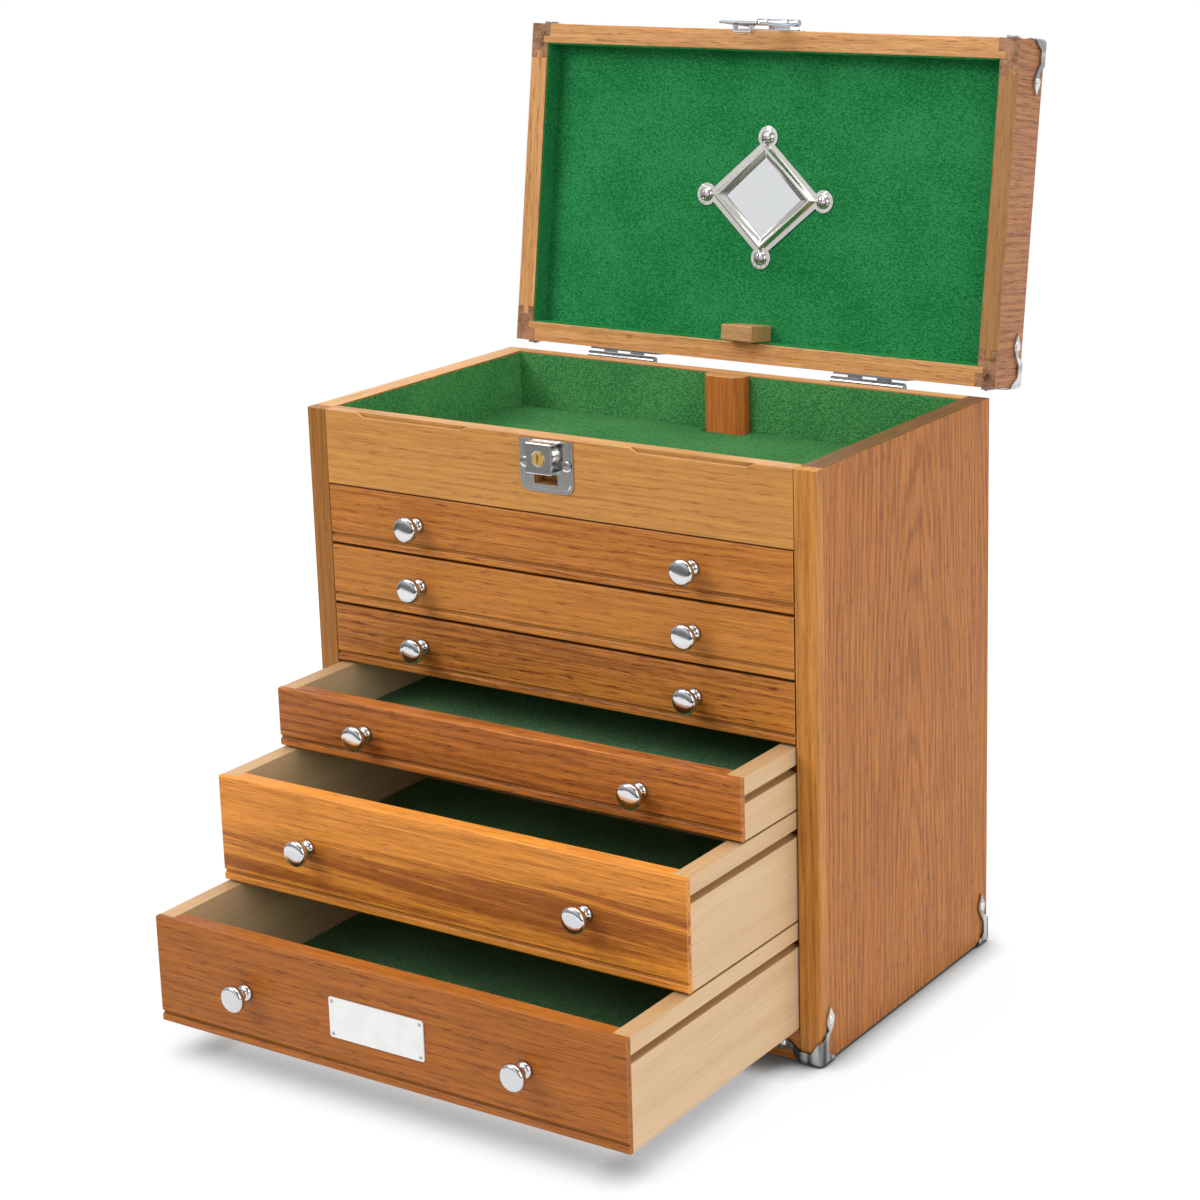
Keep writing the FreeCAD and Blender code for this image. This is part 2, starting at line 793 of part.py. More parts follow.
def make_drawers():
    """All six drawers, each pulled out as far as it stands in use."""
    parts = []
    for number, foot, pitch, pulled in drawer_bays():
        name = "drawer_%d" % number
        middle = foot + pitch / 2
        knob = make_knob(name + "_knob", S.knob_spacing / 2, middle)
        pieces = [
            make_drawer_front(name + "_front", foot, pitch),
            make_drawer_box(name + "_box", foot, pitch),
            make_drawer_felt(name + "_felt", foot),
            group(name + "_knobs", both_sides(knob)),
        ]
        for piece in pieces:
            piece.Placement = FreeCAD.Placement(FreeCAD.Vector(0, -pulled.value, 0),
                                                FreeCAD.Rotation())
        parts += pieces
    return parts


def make_runners():
    """Hardwood strips on the case sides that the drawers slide on."""
    front = FRONT + S.front_lap + S.runner_front_gap
    reach = drawer_planes()[0] - S.runner_groove_depth + S.runner_gap
    strips = []
    for number, foot, pitch, pulled in drawer_bays():
        groove = groove_heights(foot, pitch)
        heights = (groove[0] + S.runner_gap, groove[1] - S.runner_gap)
        strip = block("runner_%d" % number, (reach, INNER_X),
                      (front, INNER_REAR - S.runner_end_gap), heights)
        strips += both_sides(strip)
    return [group("drawer_runners", strips)]


def corner_leg():
    """Outline of one plate of a metal corner: a foot on one edge, and a spear-shaped leg.

    Each point is a step across the leg and a step along it, from the wooden corner."""
    metal = S.corner_metal
    foot = S.corner_foot
    waist = S.corner_waist
    across = S.corner_rivet_across
    rivet = S.corner_rivet_along
    spear = S.corner_spear
    neck = rivet - spear * S.corner_neck_share
    barb = spear * S.corner_barb_share
    return [
        (-metal, -metal), (foot, -metal), (foot - barb, barb), (waist + barb, waist - barb),
        (waist, waist), (waist, S.corner_bend), (across + barb, neck), (across + spear, rivet - barb),
        (across + spear, rivet + barb), (across, S.corner_tip), (across - spear, rivet + barb),
        (across - spear, rivet - barb), (across - barb - barb, neck), (-metal, S.corner_bend),
    ]


def make_corner(name, corner_z, down):
    """A three-legged metal corner, rounded where it bends over the edges.

    corner_z is the height of the wooden corner, and down is true where it is a top corner."""
    away = -1 if down else 1
    metal = S.corner_metal
    shape = corner_leg()
    if down:
        side_points = [(FRONT + b, corner_z + a * away) for a, b in shape]
        front_points = [(HALF_WIDTH - a, corner_z + b * away) for a, b in shape]
        flat_points = [(HALF_WIDTH - b, FRONT + a) for a, b in shape]
    else:
        side_points = [(FRONT + a, corner_z + b * away) for a, b in shape]
        front_points = [(HALF_WIDTH - b, corner_z + a * away) for a, b in shape]
        flat_points = [(HALF_WIDTH - a, FRONT + b) for a, b in shape]
    outer_x = HALF_WIDTH + metal
    outer_y = FRONT - metal
    outer_z = corner_z - metal * away
    corner = new_body(name)
    pad(corner, "YZ", HALF_WIDTH, outer_x, [side_points])
    pad(corner, "XZ", outer_y, FRONT, [front_points])
    pad(corner, "XY", *sorted((corner_z, outer_z), key=lambda size: size.value), [flat_points])

    def on_bend(middle, run):
        """True on the three outer edges where two plates meet."""
        at_x, at_y, at_z = near(middle.x, outer_x), near(middle.y, outer_y), near(middle.z, outer_z)
        return ((along(run, AXIS_Z) and at_x and at_y) or (along(run, AXIS_X) and at_y and at_z)
                or (along(run, AXIS_Y) and at_x and at_z))

    dress(corner, "Fillet", "Radius", S.corner_round, on_bend)
    return corner


def make_rivets(name, corner_z, down, with_flat):
    """Domed rivets on the legs of one metal corner."""
    away = -1 if down else 1
    metal = S.corner_metal
    across = S.corner_rivet_across
    along_leg = S.corner_rivet_along
    a, b = (along_leg, across) if down else (across, along_leg)
    rivets = [
        head(name + "_side", "x", (FRONT + a, corner_z + b * away), HALF_WIDTH + metal,
             S.rivet_radius, S.rivet_height),
        head(name + "_front", "-y", (HALF_WIDTH - b, corner_z + a * away), FRONT - metal,
             S.rivet_radius, S.rivet_height),
    ]
    if with_flat:
        rivets.append(head(name + "_flat", "z", (HALF_WIDTH - a, FRONT + b), corner_z + metal,
                           S.rivet_radius, S.rivet_height))
    return rivets


def make_corners():
    """Metal corners and rivets of the case's foot and of the lid's top."""
    foot = S.corner_metal
    case_corners = group("case_corners", four_corners(make_corner("case_corner", foot, False)))
    lid_corners = group("lid_corners", four_corners(make_corner("lid_corner", LID_TOP, True)))
    case_rivets = []
    for rivet in make_rivets("case_rivet", foot, False, False):
        case_rivets += four_corners(rivet)
    lid_rivets = []
    for rivet in make_rivets("lid_rivet", LID_TOP, True, True):
        lid_rivets += four_corners(rivet)
    return case_corners, lid_corners, case_rivets, lid_rivets


def make_hinge_leaf(name, offset, upper):
    """One leaf of a butt hinge with its share of the knuckles; upper is the lid's leaf."""
    start = offset - S.hinge_length / 2
    step = S.hinge_length / KNUCKLES
    leaf_y = (REAR, REAR + S.hinge_leaf)
    under = PIN_Z - S.hinge_barrel_radius + S.hinge_leaf / 2
    over = PIN_Z + S.hinge_barrel_radius - S.hinge_leaf / 2
    if upper:
        web_z = (over - S.hinge_leaf, over)
        leaf_z = (over - S.hinge_leaf, over - S.hinge_leaf + S.hinge_leaf_height)
    else:
        web_z = (under, under + S.hinge_leaf)
        leaf_z = (under + S.hinge_leaf - S.hinge_leaf_height, under + S.hinge_leaf)
    pieces = [block(name + "_leaf", (start, start + S.hinge_length), leaf_y, leaf_z)]
    for index in range(1 if upper else 0, KNUCKLES, 2):
        low = start + step * index + S.knuckle_gap / 2
        high = start + step * (index + 1) - S.knuckle_gap / 2
        pieces.append(rod("%s_knuckle_%d" % (name, index), "x", (PIN_Y, PIN_Z), low, high,
                          S.hinge_barrel_radius))
        pieces.append(block("%s_web_%d" % (name, index), (low, high), (REAR, PIN_Y), web_z))
    bore = rod(name + "_bore", "x", (PIN_Y, PIN_Z), start - S.overrun,
               start + S.hinge_length + S.overrun, S.hinge_pin_radius + S.hinge_play)
    return cut(name, fuse(name + "_fused", pieces), bore)


def make_hinges():
    """Two butt hinges: leaves on the case, leaves on the lid, pins and screws."""
    place = S.hinge_spacing / 2
    case_leaf = make_hinge_leaf("hinge_case_leaf", place, False)
    lid_leaf = make_hinge_leaf("hinge_lid_leaf", place, True)
    half = S.hinge_length / 2
    pin = rod("hinge_pin", "x", (PIN_Y, PIN_Z), place - half, place + half, S.hinge_pin_radius)
    case_leaves = group("hinge_case_leaves", both_sides(case_leaf) + both_sides(pin))
    lid_leaves = group("hinge_lid_leaves", both_sides(lid_leaf))
    face = REAR + S.hinge_leaf
    case_screws = []
    lid_screws = []
    for index in (-1, 0, 1):
        x = place + S.hinge_screw_pitch * index
        for name, z, screws in (("case", PIN_Z - S.hinge_screw_reach, case_screws),
                                ("lid", PIN_Z + S.hinge_screw_reach, lid_screws)):
            screw = head("hinge_%s_screw_%d" % (name, index + 1), "y", (x, z), face,
                        S.hinge_screw_radius, S.hinge_screw_head)
            screws += both_sides(screw)
    return case_leaves, lid_leaves, case_screws, lid_screws


def make_lock():
    """Plate, hollow housing with open sides, key plug and screws on the till front."""
    top = RIM - S.lock_plate_drop
    foot = top - S.lock_plate_height
    half = S.lock_plate_width / 2
    step = S.lock_plate_step
    rim_face = FRONT - S.lock_plate_metal
    face = LOCK_FACE
    slot = lock_slot_heights()
    slot_half = S.lock_slot_width / 2
    plate = new_body("lock_plate")
    plate.Label = "lock_plate"
    pad(plate, "XZ", rim_face, FRONT, [rectangle((-half, half), (foot, top))])
    pad(plate, "XZ", face, rim_face,
        [rectangle((-half + step, half - step), (foot + step, top))])
    dress(plate, "Fillet", "Radius", S.lock_plate_round - step,
          lambda middle, run: along(run, AXIS_Y) and near(middle.z, foot + step))
    dress(plate, "Fillet", "Radius", S.lock_plate_round,
          lambda middle, run: along(run, AXIS_Y) and near(middle.z, foot))
    pocket(plate, "XZ", face - S.overrun, FRONT + S.overrun,
           [rectangle((-slot_half, slot_half), slot)])

    case_top = top - S.lock_case_drop
    case_foot = case_top - S.lock_case_height
    case_half = S.lock_case_width / 2
    case_face = face - S.lock_case_depth
    wall = S.lock_case_metal
    centre = (case_top + case_foot) / 2
    housing = new_body("lock_housing")
    housing.Label = "lock_housing"
    channel = [
        (case_face, case_foot), (case_face, case_top), (face, case_top), (face, case_top - wall),
        (case_face + wall, case_top - wall), (case_face + wall, case_foot + wall),
        (face, case_foot + wall), (face, case_foot),
    ]
    pad(housing, "YZ", -case_half, case_half, [channel])
    pad(housing, "XZ", case_face + wall / 2, face, circles=[((0, centre), S.lock_barrel_radius)])
    pocket(housing, "XZ", case_face - S.overrun, face + S.overrun,
           circles=[((0, centre), S.plug_radius + S.plug_play)])

    plug_face = case_face - S.plug_proud
    plug = new_body("lock_plug")
    plug.Label = "lock_plug"
    pad(plug, "XZ", plug_face, face, circles=[((0, centre), S.plug_radius)])
    pocket(plug, "XZ", plug_face - S.overrun, plug_face + S.key_slot_depth,
           [rectangle((-S.key_slot_width / 2, S.key_slot_width / 2),
                      (centre - S.key_slot_height / 2, centre + S.key_slot_height / 2))])
    screw = head("lock_screw", "-y", (S.lock_screw_spread / 2, case_foot + S.lock_screw_rise), face,
                 S.lock_screw_radius, S.lock_screw_head)
    return [plate, housing, plug], both_sides(screw)


def hasp_pivot():
    """Place of the hasp's pin, as the lid lies shut."""
    return FRONT - S.hasp_pivot_out, RIM + S.hasp_pivot_rise


def make_hasp():
    """Base on the lid front, and the swinging hasp with its window and staple."""
    pivot_y, pivot_z = hasp_pivot()
    base_half = S.hasp_base_width / 2
    base_foot = RIM + S.hasp_base_rise
    base_top = base_foot + S.hasp_base_height
    plate_face = FRONT - S.hasp_base_metal
    boss_half = S.hasp_boss_width / 2
    base_plate = block("hasp_base_plate", (-base_half, base_half), (plate_face, FRONT),
                       (base_foot, base_top))
    boss = block("hasp_boss", (-boss_half, boss_half), (pivot_y, FRONT),
                 (pivot_z, pivot_z + S.hasp_barrel_radius))
    barrel = rod("hasp_base_barrel", "x", (pivot_y, pivot_z), -boss_half, boss_half,
                 S.hasp_barrel_radius)
    pin = rod("hasp_pin", "x", (pivot_y, pivot_z), -S.hasp_width / 2, S.hasp_width / 2,
              S.hasp_pin_radius)
    base = fuse("hasp_base_fused", [base_plate, boss, barrel, pin])

    half = S.hasp_width / 2
    rear = LOCK_FACE - S.hasp_clearance
    front = rear - S.hasp_metal
    slot = lock_slot_heights()
    tail_top = slot[1] + S.lock_slot_gap / 2 - S.hasp_clearance
    tail_foot = tail_top - S.hasp_tail
    bend = RIM + S.hasp_bend_rise
    arm_inner = half - S.hasp_arm
    knuckle_in = boss_half + S.knuckle_gap
    notch_foot = pivot_z - S.hasp_barrel_radius - S.knuckle_gap
    # The strap is flat over the lock and slopes out to its pin above the rim
    frame = new_body("hasp_frame")
    pad(frame, "YZ", -half, half, [[
        (front, tail_foot), (rear, tail_foot), (rear, bend), (pivot_y + S.hasp_metal / 2, pivot_z),
        (pivot_y - S.hasp_metal / 2, pivot_z), (front, bend)]])
    through = (pivot_y - S.hasp_metal, rear + S.overrun)
    pocket(frame, "XZ", *through,
           [rectangle((-arm_inner, arm_inner), (tail_top, notch_foot - S.hasp_bridge)),
            rectangle((-knuckle_in, knuckle_in), (notch_foot, pivot_z + S.overrun))])
    dress(frame, "Fillet", "Radius", S.hasp_round,
          lambda middle, run: along(run, AXIS_Y) and near(middle.z, tail_foot))
    knuckles = []
    for side in (-1, 1):
        low, high = sorted((knuckle_in * side, half * side), key=lambda size: size.value)
        knuckle = rod("hasp_knuckle_%d" % (side + 1), "x", (pivot_y, pivot_z), low, high,
                      S.hasp_barrel_radius)
        knuckles.append(knuckle)
    staple_half = S.staple_width / 2
    wire = S.staple_wire
    staple_foot = slot[0] + (S.lock_slot_height - S.staple_height) / 2
    staple_top = staple_foot + S.staple_height
    reach = rear + S.staple_reach
    staple = block("staple_outer", (-staple_half, staple_half), (front, reach),
                   (staple_foot, staple_top))
    staple_hole = block("staple_hole", (-staple_half + wire, staple_half - wire),
                        (rear, reach - wire), (staple_foot - S.overrun, staple_top + S.overrun))
    loop = cut("staple_loop", staple, staple_hole)
    fused = fuse("hasp_fused", [frame, loop] + knuckles)
    bore = rod("hasp_bore", "x", (pivot_y, pivot_z), -half - S.overrun, half + S.overrun,
               S.hasp_pin_radius + S.hinge_play)
    hasp = group("hasp", [cut("hasp_bored", fused, bore)])
    screw_x = (base_half + half) / 2
    screw = head("hasp_screw", "-y", (screw_x, (base_foot + base_top) / 2), plate_face,
                 S.hasp_screw_radius, S.hasp_screw_head)
    return group("hasp_base", [base]), hasp, both_sides(screw)


def make_handle():
    """Two mounts on the lid and the swinging grip between them."""
    z = LID_TOP + S.handle_pivot_height
    x = S.handle_span / 2
    eye = S.handle_eye_width / 2
    gap = S.handle_ear_gap
    ear = S.handle_ear
    plate_half = S.handle_plate_length / 2
    ear_half = S.handle_eye_radius
    plate = block("handle_plate", (x - eye - gap - ear, x + eye + gap + ear),
                  (-plate_half, plate_half), (LID_TOP, LID_TOP + S.handle_plate))
    pieces = [plate]
    for name, low in (("inner", x - eye - gap - ear), ("outer", x + eye + gap)):
        pieces.append(block("handle_ear_" + name, (low, low + ear), (-ear_half, ear_half),
                            (LID_TOP, z)))
        pieces.append(rod("handle_ear_top_" + name, "x", (0, z), low, low + ear, ear_half))
    pieces.append(rod("handle_pin", "x", (0, z), x - eye - gap - ear, x + eye + gap + ear,
                      S.handle_pin_radius))
    mount = fuse("handle_mount", pieces)

    grip_y = S.handle_drop
    grip_end = x - eye
    grip = rod("grip_bar", "x", (grip_y, z), -grip_end, grip_end, S.handle_grip_radius)
    arms = []
    bores = []
    for side in (-1, 1):
        centre = x * side
        arms.append(rod("grip_eye_%d" % (side + 1), "x", (0, z), centre - eye, centre + eye,
                        S.handle_eye_radius))
        arms.append(block("grip_arm_%d" % (side + 1), (centre - eye, centre + eye),
                          (0, grip_y), (z - S.handle_arm_radius, z + S.handle_arm_radius)))
        arms.append(rod("grip_end_%d" % (side + 1), "x", (grip_y, z), centre - eye, centre + eye,
                        S.handle_eye_radius))
        bores.append(rod("grip_bore_%d" % (side + 1), "x", (0, z), centre - eye - S.overrun,
                         centre + eye + S.overrun, S.handle_pin_radius + S.handle_pin_gap))
    solid = fuse("grip_fused", [grip] + arms)
    handle = group("handle_grip", [cut("grip_bored", solid, fuse("grip_bores", bores))])
    hang = FreeCAD.Rotation(AXIS_X, S.lid_angle.value - RIGHT_ANGLE)
    handle.Placement = FreeCAD.Placement(ORIGIN, hang, FreeCAD.Vector(0, 0, z.value))
    return group("handle_mounts", both_sides(mount)), handle


def make_lid():
    """Rails and corner posts, top board, felt, mirror and the block that presses the bar."""
    post_x = HALF_WIDTH - S.lid_post_width
    post_y = FRONT + S.lid_post_depth
    rail = S.lid_rail
    rail_x = HALF_WIDTH - rail
    tongue = S.lid_tongue
    reach = S.lid_tongue_length
    # A rail's tongue lies along its inner face, and a side's tongue in its middle
    front_inner = FRONT + rail
    front_outline = [
        (-post_x, FRONT), (post_x, FRONT), (post_x, front_inner - tongue),
        (post_x + reach, front_inner - tongue), (post_x + reach, front_inner),
        (-post_x - reach, front_inner), (-post_x - reach, front_inner - tongue),
        (-post_x, front_inner - tongue),
    ]
    front = slab("lid_front_rail", "XY", RIM, LID_TOP, front_outline)
    make_finger_grips(front, RIM, RIM + S.grip_height, RIM - S.overrun)
    rear = slab("lid_rear_rail", "XY", RIM, LID_TOP, [(x, -y) for x, y in front_outline])
    tongue_in = HALF_WIDTH - (rail + tongue) / 2
    tongue_out = tongue_in + tongue
    side = new_body("lid_side")
    pad(side, "XY", RIM, LID_TOP, [[
        (rail_x, post_y), (tongue_in, post_y), (tongue_in, post_y - reach),
        (tongue_out, post_y - reach), (tongue_out, post_y), (HALF_WIDTH, post_y),
        (HALF_WIDTH, -post_y), (tongue_out, -post_y), (tongue_out, -post_y + reach),
        (tongue_in, -post_y + reach), (tongue_in, -post_y), (rail_x, -post_y)]])
    sides = group("lid_sides", both_sides(side))
    post = new_body("lid_post")
    post_outline = [
        (post_x, FRONT), (HALF_WIDTH, FRONT), (HALF_WIDTH, post_y), (tongue_out, post_y),
        (tongue_out, post_y - reach), (tongue_in, post_y - reach), (tongue_in, post_y),
        (rail_x, post_y), (rail_x, front_inner), (post_x + reach, front_inner),
        (post_x + reach, front_inner - tongue), (post_x, front_inner - tongue),
    ]
    pad(post, "XY", RIM, LID_TOP, [post_outline])
    posts = group("lid_corner_posts", four_corners(post))
    inner_y = front_inner
    board = slab("lid_top", "XY", LID_BOARD, LID_TOP,
                 rectangle((-rail_x, rail_x), (inner_y, -inner_y)))
    lining_z = (RIM + S.till_lining_drop, LID_LINING)
    lined_x = rail_x - S.felt
    depth = (inner_y, -inner_y)
    panel_felt = block("lid_felt_panel", (-rail_x, rail_x), depth, (LID_LINING, LID_BOARD))
    front_felt = block("lid_felt_front", (-lined_x, lined_x), (inner_y, inner_y + S.felt), lining_z)
    felts = [panel_felt, front_felt, mirror("lid_felt_rear", front_felt, AXIS_Y)]
    felts += both_sides(block("lid_felt_side", (lined_x, rail_x), depth, lining_z))
    block_half = S.block_width / 2
    block_rear = -inner_y - S.felt - S.felt_gap
    presser = slab("lock_block", "XY", RIM - S.bar_travel, LID_LINING,
                   rectangle((-block_half, block_half), (block_rear - S.block_depth, block_rear)))
    dress(presser, "Chamfer", "Size", S.felt,
          lambda middle, run: near(middle.z, RIM - S.bar_travel))
    return [front, rear, sides, posts, board, group("lid_lining", felts), presser]


def mirror_ring(share):
    """Half width and half height of a diamond between the frame's edge and its opening."""
    across = S.mirror_reach_across + (S.mirror_opening_across - S.mirror_reach_across) * share
    up = S.mirror_reach_up + (S.mirror_opening_up - S.mirror_reach_up) * share
    return across, up


def diamond(across, up):
    """The four points of a diamond round the origin."""
    return [(across, 0), (0, up), (-across, 0), (0, -up)]


def make_mirror():
    """Diamond mirror: moulded frame with a lobe at each point, glass and screws."""
    back = LID_LINING
    plate_face = back - S.mirror_plate
    crest = back - S.mirror_crest_height
    lip = back - S.mirror_lip_height
    opening = mirror_ring(1)
    points = diamond(*mirror_ring(0))
    frame = new_body("mirror_frame")
    frame.Label = "mirror_frame"
    pad(frame, "XY", plate_face, back, [points])
    for point in points:
        pad(frame, "XY", plate_face, back, circles=[(point, S.mirror_lobe_radius)])
    # The moulding rises to a flat crest, and falls from there to a lip round the glass
    loft(frame, "Additive", "XY", [
        (plate_face, diamond(*mirror_ring(S.mirror_crest_foot_share))),
        (crest, diamond(*mirror_ring(S.mirror_crest_outer_share)))])
    loft(frame, "Subtractive", "XY", [
        (crest, diamond(*mirror_ring(S.mirror_crest_inner_share))), (lip, diamond(*opening))])
    pocket(frame, "XY", lip - S.overrun, back + S.overrun, [diamond(*opening)])
    glass = slab("mirror_glass", "XY", back - S.mirror_glass, back,
                 diamond(*[reach - S.mirror_glass_gap for reach in opening]))
    screws = [head("mirror_screw_%d" % number, "-z", point, plate_face,
                   S.mirror_screw_radius, S.mirror_screw_head)
              for number, point in enumerate(points, start=1)]
    return [frame, glass], screws


def catch_top(foot, pitch):
    """Underside of a catch's arm over a drawer's back, with the bar up."""
    return drawer_top(foot, pitch) - S.drawer_back_drop + S.catch_gap + S.bar_travel


def make_lock_bar():
    """Wooden bar behind the drawers, its steel catches, its guide and its return spring."""
    half = S.bar_width / 2
    shoulder = half + S.bar_shoulder
    shoulder_z = TILL_FLOOR_FOOT - S.felt_gap
    bar = new_body("lock_bar")
    bar.Label = "lock_bar"
    pad(bar, "XZ", BAR_FRONT, BAR_REAR, [[
        (-shoulder, S.bar_foot), (shoulder, S.bar_foot), (shoulder, shoulder_z), (half, shoulder_z),
        (half, RIM), (-half, RIM), (-half, shoulder_z), (-shoulder, shoulder_z)]])
    dress(bar, "Chamfer", "Size", S.bar_chamfer,
          lambda middle, run: along(run, AXIS_Z) and near(middle.y, BAR_FRONT)
          and middle.z > shoulder_z.value)

    metal = S.catch_metal
    back_front = drawer_planes()[2] - S.drawer_back_thickness
    tip = back_front - S.catch_gap - metal
    catches = []
    for number, foot, pitch, pulled in drawer_bays():
        under = catch_top(foot, pitch)
        hook = new_body("catch_%d" % number)
        pad(hook, "YZ", -S.catch_width / 2, S.catch_width / 2, [[
            (BAR_FRONT, under + metal), (tip, under + metal), (tip, under - S.catch_lip),
            (tip + metal, under - S.catch_lip), (tip + metal, under),
            (BAR_FRONT - metal, under), (BAR_FRONT - metal, under - S.catch_leg),
            (BAR_FRONT, under - S.catch_leg)]])
        catches.append(hook)

    channel = shoulder + S.bar_gap
    cheek = channel + S.guide_cheek
    floor = S.bottom_thickness + S.guide_floor
    lip_front = BAR_FRONT - S.felt_gap - S.guide_lip
    guide_top = S.bottom_thickness + S.guide_height
    guide = new_body("lock_bar_guide")
    guide.Label = "lock_bar_guide"
    pad(guide, "XZ", lip_front, INNER_REAR, [rectangle((-cheek, cheek), (S.bottom_thickness, guide_top))])
    pocket(guide, "XZ", BAR_FRONT - S.felt_gap, INNER_REAR + S.overrun,
           [rectangle((-channel, channel), (floor, guide_top + S.overrun))])

    spring = make_spring(floor)
    return [bar, group("lock_catches", catches), guide, spring]


def make_spring(floor):
    """Compression spring that lifts the bar."""
    low = floor + S.spring_end_gap + S.spring_wire / 2
    high = S.bar_foot - S.spring_end_gap - S.spring_wire / 2
    helix = DOCUMENT.addObject("Part::Helix", "spring_path")
    bind(helix, "Radius", S.spring_radius)
    bind(helix, "Height", high - low)
    bind(helix, "Pitch", (high - low) / S.spring_turns)
    section = DOCUMENT.addObject("Part::RegularPolygon", "spring_section")
    section.Polygon = SPRING_WIRE_SIDES
    bind(section, "Circumradius", S.spring_wire / 2)
    section.Placement = FreeCAD.Placement(ORIGIN, FreeCAD.Rotation(AXIS_X, RIGHT_ANGLE))
    bind(section, "Placement.Base.x", S.spring_radius)
    wound = DOCUMENT.addObject("Part::Sweep", "spring_wound")
    wound.Sections = [section]
    wound.Spine = (helix, [])
    wound.Solid = True
    wound.Frenet = True
    spring = group("lock_spring", [wound])
    spring.Placement = FreeCAD.Placement(
        FreeCAD.Vector(0, ((BAR_FRONT + BAR_REAR) / 2).value, low.value), FreeCAD.Rotation())
    return spring


def make_chest():
    """Every sub-part of the chest, in place."""
    case_corners, lid_corners, case_rivets, lid_rivets = make_corners()
    case_leaves, lid_leaves, hinge_case_screws, hinge_lid_screws = make_hinges()
    lock_parts, lock_screws = make_lock()
    hasp_base, hasp, hasp_screws = make_hasp()
    handle_mounts, handle = make_handle()
    mirror_parts, mirror_screws = make_mirror()
    case_fasteners = group("case_fasteners", case_rivets + hinge_case_screws + lock_screws)
    lid_fasteners = group("lid_fasteners",
                          lid_rivets + hinge_lid_screws + hasp_screws + mirror_screws)
    parts = make_case() + make_till() + make_runners() + make_drawers() + make_lock_bar()
    parts += [case_corners, case_fasteners, case_leaves] + lock_parts
    on_lid = make_lid() + mirror_parts + [lid_corners, lid_fasteners, lid_leaves, hasp_base, hasp,
                                          handle_mounts, handle]
    for part in on_lid:
        part.Placement = lid_placement().multiply(part.Placement)
    return parts + on_lid


def check_and_export(parts):
    """Stop on any failed object, then write one file for each sub-part."""
    DOCUMENT.recompute()
    failed = [thing.Label for thing in DOCUMENT.Objects
              if any(state in thing.State for state in FAILED_STATES)]
    failed += [part.Label for part in parts if part.Shape.isNull() or not part.Shape.isValid()]
    if failed:
        raise ValueError("these did not build: " + ", ".join(failed))
    os.makedirs("parts", exist_ok=True)
    for part in parts:
        part.Shape.exportStep("parts/%s.step" % part.Label)
        print(part.Label, len(part.Shape.Solids), round(part.Shape.Volume, 1))


check_and_export(make_chest())
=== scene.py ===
"""Looks of a top tool chest: stained oak, felt, chrome and small trim on the solids of its frame."""

import math

import bmesh
import bpy
from bpy.props import FloatProperty, FloatVectorProperty, IntProperty, PointerProperty
from mathutils import Matrix, Vector


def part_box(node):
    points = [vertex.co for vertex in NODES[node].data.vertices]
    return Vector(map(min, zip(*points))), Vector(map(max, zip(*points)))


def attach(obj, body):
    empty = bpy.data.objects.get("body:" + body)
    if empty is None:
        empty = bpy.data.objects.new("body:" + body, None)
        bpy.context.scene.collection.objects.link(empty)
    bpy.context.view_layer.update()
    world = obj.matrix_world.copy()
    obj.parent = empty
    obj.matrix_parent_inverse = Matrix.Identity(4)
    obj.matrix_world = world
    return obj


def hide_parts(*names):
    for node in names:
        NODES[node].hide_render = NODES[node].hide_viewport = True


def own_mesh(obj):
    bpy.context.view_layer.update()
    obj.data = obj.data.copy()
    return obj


bl_info = {
    "name": "Top tool chest",
    "version": (1, 0, 0),
    "blender": (4, 0, 0),
    "location": "3D View > Sidebar > Tool chest",
    "description": "Materials, trim and studio for a wooden top tool chest",
    "category": "Object",
}

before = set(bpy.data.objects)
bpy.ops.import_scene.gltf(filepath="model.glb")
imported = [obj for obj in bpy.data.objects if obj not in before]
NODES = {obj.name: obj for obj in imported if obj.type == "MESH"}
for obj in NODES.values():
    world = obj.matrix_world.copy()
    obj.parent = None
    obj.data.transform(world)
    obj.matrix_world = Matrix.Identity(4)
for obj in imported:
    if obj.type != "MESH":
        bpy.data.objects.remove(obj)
MM = 0.001
DRAWERS = range(1, 7)
UP = Vector((0, 0, 1))
SIDEWAYS = Vector((1, 0, 0))


def colour(code):
    """Linear colour from a hexadecimal sRGB code."""
    parts = [int(code[place:place + 2], 16) / 255 for place in (0, 2, 4)]
    return tuple([part / 12.92 if part < 0.04045 else ((part + 0.055) / 1.055) ** 2.4
                  for part in parts] + [1.0])


def grey(value):
    """A grey of one brightness."""
    return (value, value, value, 1.0)


def darker(shade, share):
    """A colour at a share of its strength, which is one number or one for each channel."""
    shares = (share,) * 3 if isinstance(share, float) else share
    return tuple(part * one for part, one in zip(shade, shares)) + (1.0,)


def shade_property(name, shade):
    """A colour that a user may change."""
    return FloatVectorProperty(name=name, description="Colour of this finish", subtype="COLOR", size=4,
                               min=0.0, max=1.0, default=shade)


def length_property(name, length, description):
    """A length in metres that a user may change."""
    return FloatProperty(name=name, description=description, default=length, unit="LENGTH", precision=5)


def number_property(name, value, description, **limits):
    """A plain number that a user may change."""
    return FloatProperty(name=name, description=description, default=value, **limits)


def shades(group, name):
    """Light and dark colour of one finish in a group of settings."""
    return {tone: tuple(getattr(group, "%s_%s" % (name, tone))) for tone in ("light", "dark")}


